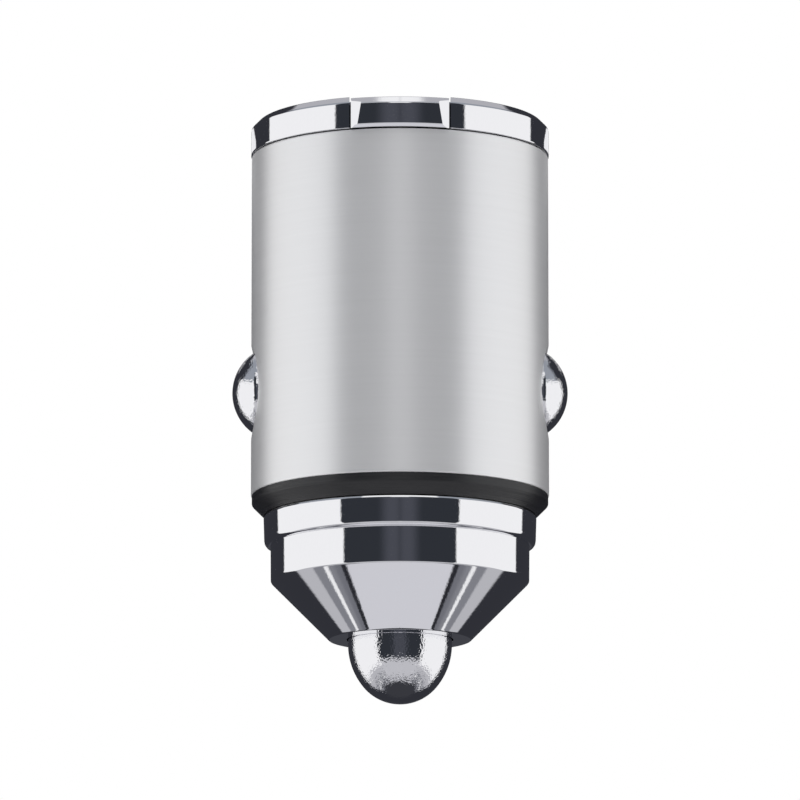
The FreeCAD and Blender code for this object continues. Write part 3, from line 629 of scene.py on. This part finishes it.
@dataclass
class Barrel:
    """Turned aluminium tube with a round window for each side contact."""

    radius: float
    length: float
    wall: float = 0.80
    edge: float = 0.12
    window_radius: float = 3.26
    window_edge: float = 0.13

    def window_cutter(self, side: Side) -> Piece:
        """Makes the solid that cuts one window and bevels its rim.

        The rim lies on the round barrel, so the bevel's start follows the barrel's surface.

        Args:
            side: Side of the window.

        Returns:
            The cutter.
        """
        cutter = cross_rod(self.window_radius, self.radius / 2, self.radius, CONTACT_HEIGHT)
        bpy.ops.object.mode_set(mode="EDIT")
        mesh = choose(cutter, "FACE", lambda face: face.normal.x > FACING)
        for vert in (v for v in mesh.verts if v.select):
            reach = math.sqrt(self.radius ** 2 - (vert.co.y / MM) ** 2)
            vert.co.x = (reach - self.window_edge) * MM
        bmesh.update_edit_mesh(cutter.data)
        flare = 3 * CLEAR + self.window_edge
        extrude(flare, 0, 0)
        grow = (self.window_radius + flare) / self.window_radius
        bpy.ops.transform.resize(value=(1, grow, grow), center_override=(0, 0, CONTACT_HEIGHT * MM))
        close_up()
        turn = 0 if side is Side.RIGHT else math.pi
        return settle(cutter, (0, 0, turn), (0, 0, 0))

    def build(self) -> None:
        """Turns the tube, cuts its windows and dresses it."""
        bore = self.radius - self.wall
        tube = lathe("barrel_tube", [
            Corner(bore, 0),
            Corner(self.radius, 0, self.edge),
            Corner(self.radius, self.length, self.edge),
            Corner(bore, self.length),
        ])
        cut(tube, *(self.window_cutter(side) for side in Side))
        dress(tube, "barrel_tube", ANODISED, "barrel_shell")


@dataclass
class PullHandle:
    """Half ring that lies round the face plate, with a nail tab at its front."""

    top: float
    ring_base: float
    inner: float = 7.45
    outer: float = 9.20
    base: float = 25.05
    edge: float = 0.12
    eye_bore: float = 0.44
    tab_inner: float = 9.70
    tab_radius: float = 10.75
    tab_lower_edge: float = 0.22
    tab_upper_edge: float = 0.50
    tab_root_half: float = 3.40
    tab_root_y: float = 9.881
    tab_corner_y: float = 10.311
    tab_face_half_top: float = 2.62
    tab_face_half_base: float = 2.98
    softness: float = 0.05
    hair: float = 0.004

    @property
    def hinge_height(self) -> float:
        """Height of the hinge axis."""
        return (self.base + self.top) / 2

    def tab_prism(self) -> Piece:
        """Makes the upright prism that gives the tab its bevelled sides.

        Returns:
            The prism.
        """
        past = CLEAR / 2
        low = self.ring_base - past
        high = self.top + past
        narrowing = self.tab_face_half_base - self.tab_face_half_top
        lean = narrowing / (self.top - self.ring_base) * past
        prism = box((-self.tab_root_half, -self.tab_root_y, low),
                    (self.tab_root_half, -self.inner, high))
        bpy.ops.object.mode_set(mode="EDIT")
        mesh = choose(prism, "FACE", lambda face: face.normal.y < -FACING)
        extrude(0, self.tab_root_y - self.tab_corner_y, 0)
        for vert in (v for v in mesh.verts if v.select):
            upper = vert.co.z > (low + high) / 2 * MM
            half = self.tab_face_half_top - lean if upper else self.tab_face_half_base + lean
            vert.co.x = math.copysign(half, vert.co.x) * MM
        bmesh.update_edit_mesh(prism.data)
        extrude(0, self.tab_corner_y - self.tab_radius - CLEAR, 0)
        close_up()
        return prism

    def nail_tab(self) -> Piece:
        """Makes the nail tab, from the loop's middle out past the ring.

        Returns:
            The tab.
        """
        middle = (self.inner + self.outer) / 2
        band = lathe("nail_tab", [
            Corner(middle, self.base + self.hair),
            Corner(self.tab_inner, self.base + self.hair),
            Corner(self.tab_inner, self.ring_base),
            Corner(self.tab_radius - self.tab_lower_edge, self.ring_base, self.softness),
            Corner(self.tab_radius, self.ring_base + self.tab_lower_edge, self.softness),
            Corner(self.tab_radius, self.top - self.tab_upper_edge, self.softness),
            Corner(self.tab_radius - self.tab_upper_edge, self.top - self.hair, self.softness),
            Corner(middle, self.top - self.hair),
        ])
        return combine(keep_front(band, 0), self.tab_prism(), Operation.COMMON)

    def build(self) -> None:
        """Makes the loop, its hinge eyes and its tab, and dresses it."""
        loop = lathe("handle_loop", [
            Corner(self.inner, self.base),
            Corner(self.outer, self.base),
            Corner(self.outer, self.top, self.edge),
            Corner(self.inner, self.top, self.edge),
        ])
        keep_front(loop, 0)
        half = (self.top - self.base) / 2 - self.hair
        for side in Side:
            ends = sorted((side.value * self.inner, side.value * self.outer))
            combine(loop, cross_rod(half, *ends, self.hinge_height), Operation.JOIN)
        combine(loop, self.nail_tab(), Operation.JOIN)
        past = self.outer + CLEAR
        cut(loop, cross_rod(self.eye_bore, -past, past, self.hinge_height))
        dress(loop, "folding_handle", CHROME, "pull_handle", "handle")


@dataclass
class EndRing:
    """Plated ring pressed into the barrel, with the channel that the handle lies in."""

    hinge_height: float
    radius: float
    base: float
    top: float
    spigot_base: float
    bevel: float = 0.50
    lower_edge: float = 0.10
    upper_edge: float = 0.08
    inner_edge: float = 0.06
    inner: float = 8.80
    spigot: float = 9.55
    spigot_bore: float = 8.95
    channel: float = 9.35
    channel_floor: float = 24.95
    channel_end_y: float = 1.0
    notch_half: float = 3.50
    pin_bore: float = 0.41
    pin_reach: float = 10.15

    def notch_block(self, low: float) -> Piece:
        """Makes a block that cuts the tab's notch from a height upwards."""
        return box((-self.notch_half, -self.radius - 2 * CLEAR, low),
                   (self.notch_half, -self.inner / 2, self.top + CLEAR))

    def build(self) -> None:
        """Turns the ring, cuts channel, notch and pin holes, and dresses it."""
        ring = lathe("polished_ring", [
            Corner(self.spigot_bore, self.spigot_base),
            Corner(self.spigot, self.spigot_base, self.upper_edge),
            Corner(self.spigot, self.base),
            Corner(self.radius, self.base, self.lower_edge),
            Corner(self.radius, self.top - self.bevel, self.upper_edge),
            Corner(self.radius - self.bevel, self.top, self.upper_edge),
            Corner(self.inner, self.top, self.inner_edge),
            Corner(self.inner, self.channel_floor),
            Corner(self.spigot_bore, self.channel_floor),
        ])
        over = self.top + CLEAR
        room = rod(self.channel, self.channel_floor, over, steps=ROUND_STEPS)
        core = rod(self.spigot, self.base - CLEAR, over + CLEAR, steps=ROUND_STEPS)
        cut(ring, keep_front(room, self.channel_end_y), self.notch_block(self.channel_floor),
            cut(self.notch_block(self.base), core),
            cross_rod(self.pin_bore, -self.pin_reach, self.pin_reach, self.hinge_height))
        dress(ring, "polished_ring", CHROME, "end_ring")


@dataclass(frozen=True)
class Opening:
    """One socket opening of the face plate, with Y as its place."""

    width: float
    height: float
    corner: float
    place: float
    steps: int


@dataclass
class SocketPlate:
    """Moulded black plate round both USB sockets."""

    flange_radius: float
    base: float
    top: float
    radius: float = 8.70
    front_radius: float = 7.20
    step: float = 24.95
    step_end_y: float = 1.0
    flange_edge: float = 0.10
    rim_edge: float = 0.08
    large: Opening = Opening(13.30, 5.92, 0.60, 2.35, 6)
    small: Opening = Opening(9.14, 3.46, 1.73, -3.55, 20)
    bevel: float = 0.25
    corner_share: float = 0.999
    lens_radius: float = 0.60
    lens_place: Point = (5.75, -2.50)

    def cutter(self, size: Opening) -> Piece:
        """Makes the cutter of one socket opening, which widens at the face.

        Args:
            size: The opening.

        Returns:
            The cutter.
        """
        half = size.height / 2
        cutter = box((-size.width / 2, size.place - half, self.base - CLEAR),
                     (size.width / 2, size.place + half, self.top - self.bevel))
        bpy.ops.object.mode_set(mode="EDIT")
        choose(cutter, "EDGE", lambda edge: abs(edge.verts[0].co.z - edge.verts[1].co.z) > MM)
        bpy.ops.mesh.bevel(offset=size.corner * MM * self.corner_share, segments=size.steps,
                           affect="EDGES")
        choose(cutter, "FACE", lambda face: face.normal.z > FACING)
        flare = 2 * self.bevel
        extrude(0, 0, flare)
        bpy.ops.transform.resize(
            value=(1 + 2 * flare / size.width, 1 + 2 * flare / size.height, 1),
            center_override=(0, size.place * MM, 0))
        close_up()
        return cutter

    def build(self) -> None:
        """Turns the plate, steps its front, cuts its openings and dresses it."""
        plate = lathe("socket_plate", [
            Corner(0, self.base),
            Corner(self.flange_radius, self.base, self.flange_edge),
            Corner(self.flange_radius, self.step),
            Corner(self.radius, self.step),
            Corner(self.radius, self.top, self.rim_edge),
            Corner(0, self.top),
        ], closed=False)
        over = self.top + CLEAR
        under = self.base - CLEAR
        front = rod(self.flange_radius + 2 * CLEAR, self.step, over, steps=ROUND_STEPS)
        boss = rod(self.front_radius, self.step - CLEAR, over + CLEAR, steps=ROUND_STEPS)
        cut(plate, cut(keep_front(front, self.step_end_y), boss), self.cutter(self.large),
            self.cutter(self.small),
            rod(self.lens_radius, under, over, self.lens_place, LENS_STEPS))
        dress(plate, "socket_plate", PLATE_ABS, "face_plate")


@dataclass
class Collar:
    """Black insulating collar between barrel and nose, with a spigot up the barrel."""

    bore: float = 0.80
    spigot: float = 9.55
    spigot_top: float = 3.00
    rim: float = 10.34
    rim_base: float = -0.56
    foot: float = 9.50
    foot_base: float = -1.40
    core: float = 8.46
    core_base: float = -3.20
    end_edge: float = 0.10
    rim_edge: float = 0.03
    slope_edge: float = 0.06
    foot_edge: float = 0.04

    def build(self) -> None:
        """Turns the collar and dresses it."""
        collar = lathe("collar_ring", [
            Corner(self.bore, self.spigot_top),
            Corner(self.spigot, self.spigot_top, self.end_edge),
            Corner(self.spigot, 0),
            Corner(self.rim, 0, self.rim_edge),
            Corner(self.rim, self.rim_base, self.slope_edge),
            Corner(self.foot, self.foot_base, self.foot_edge),
            Corner(self.core, self.foot_base),
            Corner(self.core, self.core_base, self.end_edge),
            Corner(self.bore, self.core_base),
        ])
        dress(collar, "collar_ring", COLLAR_NYLON, "insulator_collar")


@dataclass
class Nose:
    """Plated stepped nose that ends in a cone, with a chamber for the tip."""

    band_top: float = -1.46
    band_edge: float = 9.46
    band_facet: float = -1.61
    band: float = 9.51
    band_foot: float = 9.45
    step: float = -3.53
    lower: float = 9.02
    lower_foot: float = 9.00
    cone_top: float = -6.01
    mouth: float = 4.94
    end: float = -10.10
    tip_bore: float = 3.70
    seat: float = -8.90
    chamber: float = 4.40
    chamber_top: float = -3.25
    cup: float = 8.51
    rim_edge: float = 0.01
    fine_edge: float = 0.02
    step_round: float = 0.40
    cone_edge: float = 0.10
    mouth_edge: float = 0.08
    bore_edge: float = 0.05

    def build(self) -> None:
        """Turns the nose and dresses it."""
        nose = lathe("stepped_nose", [
            Corner(self.band_edge, self.band_top, self.rim_edge),
            Corner(self.band, self.band_facet, self.fine_edge),
            Corner(self.band_foot, self.step, self.step_round),
            Corner(self.lower, self.step, self.fine_edge),
            Corner(self.lower_foot, self.cone_top, self.cone_edge),
            Corner(self.mouth, self.end, self.mouth_edge),
            Corner(self.tip_bore, self.end, self.bore_edge),
            Corner(self.tip_bore, self.seat),
            Corner(self.chamber, self.seat),
            Corner(self.chamber, self.chamber_top),
            Corner(self.cup, self.chamber_top),
            Corner(self.cup, self.band_top),
        ])
        dress(nose, "stepped_nose", CHROME, "nose_cap")


@dataclass
class SprungTip:
    """Pointed positive contact that a spring pushes out through the nose's end."""

    flange: float = 4.25
    flange_top: float = -7.90
    flange_base: float = -8.90
    radius: float = 3.615
    rim: float = -10.40
    apex: float = -14.58
    crown: float = 3.30
    edge: float = 0.08
    arc_steps: int = 26

    def build(self) -> None:
        """Turns the tip with its inner flange and dresses it."""
        rim = Corner(self.radius, self.rim)
        tip = lathe("sprung_tip", [
            Corner(0, self.flange_top),
            Corner(self.flange, self.flange_top, self.edge),
            Corner(self.flange, self.flange_base),
            Corner(self.radius, self.flange_base),
            rim,
        ], dome_points(rim, self.apex, self.crown, self.arc_steps), closed=False)
        dress(tip, "sprung_tip", FROSTED_CHROME, "tip_contact", "tip")


@dataclass
class SideContact:
    """Domed contact that a spring pushes out through a window."""

    side: Side
    flange: float = 3.80
    flange_base: float = 7.90
    flange_top: float = 8.70
    radius: float = 2.90
    rim: float = 9.95
    apex: float = 11.72
    crown: float = 3.40
    edge: float = 0.08
    arc_steps: int = 24

    def build(self) -> None:
        """Turns the contact upright, then lays it along its side and dresses it."""
        word = self.side.word
        name = "sprung_dome_" + word
        rim = Corner(self.radius, self.rim)
        dome = lathe(name, [
            Corner(0, self.flange_base),
            Corner(self.flange, self.flange_base, self.edge),
            Corner(self.flange, self.flange_top, self.edge),
            Corner(self.radius, self.flange_top),
            rim,
        ], dome_points(rim, self.apex, self.crown, self.arc_steps), closed=False,
                     steps=DOME_STEPS)
        settle(dome, (0, self.side.value * math.pi / 2, 0), (0, 0, CONTACT_HEIGHT))
        dress(dome, name, FROSTED_CHROME, "side_contact_" + word,
              word + "_contact")


@dataclass
class Spring:
    """Compression spring wound from round wire."""

    node: str
    joint: str
    start: Place
    direction: Place
    length: float
    travel: float
    radius: float
    wire: float
    turns: float
    wire_sides: int = 10
    steps_per_turn: int = 28

    def build(self) -> None:
        """Winds the wire round Z, lays the spring along its direction and dresses it."""
        select_only()
        bpy.ops.mesh.primitive_circle_add(
            vertices=self.wire_sides, radius=self.wire * MM, fill_type="NGON",
            location=(self.radius * MM, 0, self.wire * MM), rotation=(math.pi / 2, 0, 0))
        coil = bpy.context.object
        bpy.ops.object.transform_apply()
        winding = coil.modifiers.new("winding", "SCREW")
        winding.angle = math.tau * self.turns
        winding.screw_offset = (self.length - 2 * self.wire) * MM
        winding.steps = winding.render_steps = round(self.turns * self.steps_per_turn)
        bpy.ops.object.modifier_apply(modifier=winding.name)
        bpy.ops.object.mode_set(mode="EDIT")
        close_up()
        turn = Vector((0, 0, 1)).rotation_difference(Vector(self.direction)).to_euler()
        settle(coil, tuple(turn), self.start)
        piece = dress(coil, self.node + "_coil", SPRING_WIRE, self.node)
        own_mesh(piece)


class Inside:
    """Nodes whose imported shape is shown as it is, by their finishes."""

    FINISHES = {
        SHELL_STEEL: ("handle_pin_left", "handle_pin_right", "usb_a_shell", "usb_c_shell",
                      "earth_bracket"),
        TONGUE_LCP: ("usb_a_tongue", "usb_c_tongue"),
        CONTACT_GOLD: ("usb_a_contacts", "usb_c_contacts", "positive_terminal", "positive_pin"),
        LENS_ACRYLIC: ("led_lens", "status_led"),
        SOLDER_MASK: ("circuit_board",),
        FERRITE: ("power_inductor",),
        CAN_ALUMINIUM: ("output_capacitor", "input_capacitor"),
        CHIP_EPOXY: ("controller_chip", "switch_chip"),
        PLATE_ABS: ("inner_chassis",),
    }

    def build(self) -> None:
        """Gives every shown node its own finish."""
        for finish, names in self.FINISHES.items():
            for name in names:
                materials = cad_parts[name].data.materials
                materials.clear()
                materials.append(finish.material())
                log.info("%s: %s", name, finish.name)


@dataclass(frozen=True)
class Card:
    """A photographer's card that only reflections show, as a window of directions in degrees.

    Azimuth counts both ways from the camera's side, so each card stands on both sides alike.
    """

    azimuth: tuple[float, float]
    elevation: tuple[float, float]
    colour: str
    softness: float = 2.0
    strength: float = 1.0


@dataclass
class Studio:
    """Plain studio: floor, white surround with cards, soft lamp, camera at the photo's angle."""

    camera_place: Place = (0.0, -590.2, -101.0)
    camera_target: Place = (0.0, 0.0, 6.877)
    lens: float = 386.3
    near: float = 10.0
    far: float = 20000.0
    floor_height: float = -125.0
    floor_size: float = 6000.0
    floor_glow: float = 0.65
    tent_radius: float = 2000.0
    strip_inner: float = 18.0
    strip_outer: float = 46.0
    strip_low: float = 35.8
    strip_high: float = 40.2
    strip_distance: float = 60.0
    strip_depth: float = 1.0
    post_radius: float = 7.5
    post_top: float = -26.0
    fill: float = 0.8
    lamp_place: Place = (0.0, -350.0, 850.0)
    lamp_size: float = 700.0
    lamp_watts: float = 6.0

    CARDS = (
        Card((-1, 130), (35, 91), "#9a9fa7", 3.0),
        Card((-1, 51), (-64, -28), "#c8c8cc", 5.0),
        Card((-1, 51), (-28, 36), "#31343a"),
        Card((-1, 14), (-28, 30), "#4c4e56", 12.0),
        Card((-1, 26), (62, 80), "#ffffff", 5.0),
        Card((-1, 8), (15.5, 35), "#ffffff", 3.0),
        Card((-1, 38), (38, 49), "#ffffff", 3.0),
        Card((126, 181), (-64, 44), "#33343a"),
        Card((121.5, 128), (11, 44), "#33343a"),
        Card((51, 108), (21, 36), "#9a9fa7"),
        Card((107, 127), (21, 44), "#33343a"),
        Card((51, 131), (-64, -33.5), "#bfbfc3", 2.5),
        Card((51, 131), (-64, -46.3), "#87888e", 1.5),
        Card((51, 131), (-54.3, -52.0), "#fafafa", 1.0),
        Card((51, 131), (-63, -57.5), "#75767d", 3.0),
        Card((130, 181), (43, 91), "#b8b8bd", 4.0),
        Card((154, 181), (73, 85), "#ffffff", 9.0),
        Card((174, 181), (-14, -5), "#44454b", 5.0),
        Card((-1, 181), (-63.4, -60.8), "#2b2c31", 1.0),
        Card((-1, 181), (-91, -63.4), "#d7d7dc", 1.0),
    )

    def camera(self) -> None:
        """Adds the camera and makes it the scene's own."""
        data = bpy.data.cameras.new("studio_camera")
        data.lens = self.lens
        data.clip_start = self.near * MM
        data.clip_end = self.far * MM
        camera = bpy.data.objects.new("studio_camera", data)
        bpy.context.scene.collection.objects.link(camera)
        camera.location = Vector(self.camera_place) * MM
        line = Vector(self.camera_target) * MM - camera.location
        camera.rotation_euler = line.to_track_quat("-Z", "Y").to_euler()
        bpy.context.scene.camera = camera

    @staticmethod
    def covered(thing: Piece, name: str, paper: str) -> Tree:
        """Names a studio thing and covers it with a material that the sampler leaves alone.

        Args:
            thing: The studio thing.
            name: Its name.
            paper: The material's name.

        Returns:
            The material's empty node tree.
        """
        thing.name = name
        material = bpy.data.materials.new(paper)
        material.cycles.emission_sampling = "NONE"
        thing.data.materials.append(material)
        return empty_tree(material)

    def floor(self) -> None:
        """Adds the pale floor, which mirrors leave to the cards."""
        select_only()
        bpy.ops.mesh.primitive_circle_add(vertices=96, radius=self.floor_size / 2 * MM,
                                          fill_type="NGON",
                                          location=(0, 0, self.floor_height * MM))
        floor = bpy.context.object
        tree = self.covered(floor, "studio_floor", "pale_matt_paper")
        paper = add_node(tree, "ShaderNodeBsdfPrincipled", {
            "Base Color": linear("#f4f4f4"), "Roughness": 0.9}).outputs[0]
        share = calculate(tree, "MULTIPLY", self.looked_at(tree), self.floor_glow)
        shown = blend(tree, share, paper, glow(tree, WHITE))
        add_node(tree, "ShaderNodeOutputMaterial", {"Surface": shown})
        floor.visible_glossy = False

    @staticmethod
    def window(tree: Tree, angle: Socket, ends: tuple[float, float], softness: float) -> Socket:
        """Adds nodes that are 1 between two angles and 0 outside them.

        Args:
            tree: Node tree that gets the nodes.
            angle: Socket with an angle in radians.
            ends: First and last angle, in degrees.
            softness: Width of the soft edge, in degrees.

        Returns:
            The product of the two soft edges.
        """
        edges = []
        for end, inward in zip(ends, (1, -1)):
            reach = math.radians(softness) / 2 * inward
            edges.append(add_node(tree, "ShaderNodeMapRange", {
                "Value": angle,
                "From Min": math.radians(end) - reach,
                "From Max": math.radians(end) + reach,
            }, interpolation_type="SMOOTHSTEP").outputs["Result"])
        return calculate(tree, "MULTIPLY", *edges)

    def tent(self) -> None:
        """Hangs the cards round the object, seen in reflections alone."""
        select_only()
        bpy.ops.mesh.primitive_uv_sphere_add(segments=96, ring_count=48,
                                             radius=self.tent_radius * MM)
        tent = bpy.context.object
        tree = self.covered(tent, "card_tent", "hanging_cards")
        place = add_node(tree, "ShaderNodeTexCoord").outputs["Object"]
        direction = add_node(tree, "ShaderNodeVectorMath", {0: place}, operation="NORMALIZE")
        parts = add_node(tree, "ShaderNodeSeparateXYZ", {0: direction.outputs[0]}).outputs
        towards = calculate(tree, "MULTIPLY", parts["Y"], -1.0)
        azimuth = calculate(tree, "ABSOLUTE", calculate(tree, "ARCTAN2", parts["X"], towards))
        elevation = calculate(tree, "ARCSINE", parts["Z"])
        shown = add_node(tree, "ShaderNodeBsdfTransparent").outputs[0]
        for card in self.CARDS:
            across = self.window(tree, azimuth, card.azimuth, card.softness)
            along = self.window(tree, elevation, card.elevation, card.softness)
            inside = calculate(tree, "MULTIPLY", across, along)
            shown = blend(tree, inside, shown, glow(tree, card.colour, card.strength))
        add_node(tree, "ShaderNodeOutputMaterial", {"Surface": shown})
        self.reflected_only(tent)

    def post(self) -> None:
        """Adds the dark end of a stand below the tip, seen in reflections alone."""
        select_only()
        bpy.ops.mesh.primitive_circle_add(vertices=64, radius=self.post_radius * MM,
                                          fill_type="NGON", location=(0, 0, self.post_top * MM))
        self.glowing(bpy.context.object, "stand_end", "#3c3d42")

    def strips(self) -> None:
        """Adds the two low white strips behind the ring, seen in reflections alone."""
        for side in Side:
            ends = sorted((side.value * self.strip_inner, side.value * self.strip_outer))
            strip = box((ends[0], self.strip_distance, self.strip_low),
                        (ends[1], self.strip_distance + self.strip_depth, self.strip_high))
            self.glowing(strip, "white_strip_" + side.word, "#f4f4f6")

    def glowing(self, thing: Piece, name: str, colour: str) -> None:
        """Names a studio thing and gives it an even colour of its own.

        Args:
            thing: The stand or a strip.
            name: Its name.
            colour: Its sRGB hex colour.
        """
        tree = self.covered(thing, name, name + "_paper")
        add_node(tree, "ShaderNodeOutputMaterial", {"Surface": glow(tree, colour)})
        self.reflected_only(thing)

    @staticmethod
    def reflected_only(thing: Piece) -> None:
        """Marks a studio thing that nothing but reflections shows.

        Args:
            thing: The card tent, the stand or a strip.
        """
        for kind in ("camera", "diffuse", "transmission", "volume_scatter", "shadow"):
            setattr(thing, "visible_" + kind, False)

    @staticmethod
    def looked_at(tree: Tree) -> Socket:
        """Adds nodes that are 1 for what the eye sees, directly, in a mirror or through glass.

        Args:
            tree: Node tree that gets the nodes.

        Returns:
            A socket that is 0 for rays that only carry light.
        """
        ray = add_node(tree, "ShaderNodeLightPath").outputs
        mirrored = calculate(tree, "MAXIMUM", ray["Is Camera Ray"], ray["Is Glossy Ray"])
        return calculate(tree, "MAXIMUM", mirrored, ray["Is Transmission Ray"])

    def world(self) -> None:
        """Surrounds the object with white, a little dimmer where it lights matt surfaces."""
        world = bpy.data.worlds.new("studio_world")
        bpy.context.scene.world = world
        tree = empty_tree(world)
        fill, plain = (add_node(tree, "ShaderNodeBackground", {
            "Color": linear(WHITE), "Strength": strength}).outputs[0]
                       for strength in (self.fill, 1.0))
        add_node(tree, "ShaderNodeOutputWorld", {
            "Surface": blend(tree, self.looked_at(tree), fill, plain)})

    def lamp(self) -> None:
        """Adds one wide soft lamp overhead, for gentle shade on matt surfaces."""
        data = bpy.data.lights.new("soft_lamp", "AREA")
        data.shape = "DISK"
        data.size = self.lamp_size * MM
        data.energy = self.lamp_watts
        lamp = bpy.data.objects.new("soft_lamp", data)
        bpy.context.scene.collection.objects.link(lamp)
        lamp.location = Vector(self.lamp_place) * MM
        lamp.rotation_euler = lamp.location.to_track_quat("Z", "Y").to_euler()
        lamp.visible_glossy = False
        lamp.visible_camera = False

    def build(self) -> None:
        """Sets up camera, floor, cards, world and lamp, and the plain colour transform."""
        for step in (self.camera, self.floor, self.tent, self.post, self.strips, self.world,
                     self.lamp):
            step()
        bpy.context.scene.view_settings.view_transform = "Standard"


def edges_of(node: str) -> tuple[Vector, Vector]:
    """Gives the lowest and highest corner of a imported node, in millimetres."""
    low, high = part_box(node)
    return low / MM, high / MM


def springs() -> list[Spring]:
    """Lists the three springs, each from its fixed end towards the contact that it pushes.

    Returns:
        The springs, not yet built.
    """
    low, high = edges_of("tip_spring")
    listed = [Spring("tip_spring", "tip_press", (0, 0, high.z), (0, 0, -1),
                     high.z - low.z, travel=1.8, radius=3.70, wire=0.25, turns=3.5)]
    for side in Side:
        node = "side_spring_" + side.word
        low, high = edges_of(node)
        start = (side.value * min(abs(low.x), abs(high.x)), 0, CONTACT_HEIGHT)
        listed.append(Spring(node, side.word + "_press", start, (side.value, 0, 0),
                             high.x - low.x, travel=1.3, radius=1.95, wire=0.20, turns=5.0))
    return listed


def main() -> None:
    """Builds the studio and every piece."""
    logging.basicConfig(level=logging.INFO, format="%(name)s: %(message)s")
    Studio().build()
    _, barrel_top = edges_of("barrel_shell")
    handle_low, handle_high = edges_of("pull_handle")
    ring_low, ring_high = edges_of("end_ring")
    plate_low, plate_high = edges_of("face_plate")
    handle = PullHandle(handle_high.z, handle_low.z)
    assemblies = [
        Barrel(barrel_top.x, barrel_top.z),
        handle,
        EndRing(handle.hinge_height, ring_high.x, handle_low.z, ring_high.z, ring_low.z),
        SocketPlate(plate_high.x, plate_low.z, plate_high.z),
        Collar(),
        Nose(),
        SprungTip(),
        *(SideContact(side) for side in Side),
        *springs(),
        Inside(),
    ]
    for assembly in assemblies:
        assembly.build()


if __name__ == "__main__":
    main()
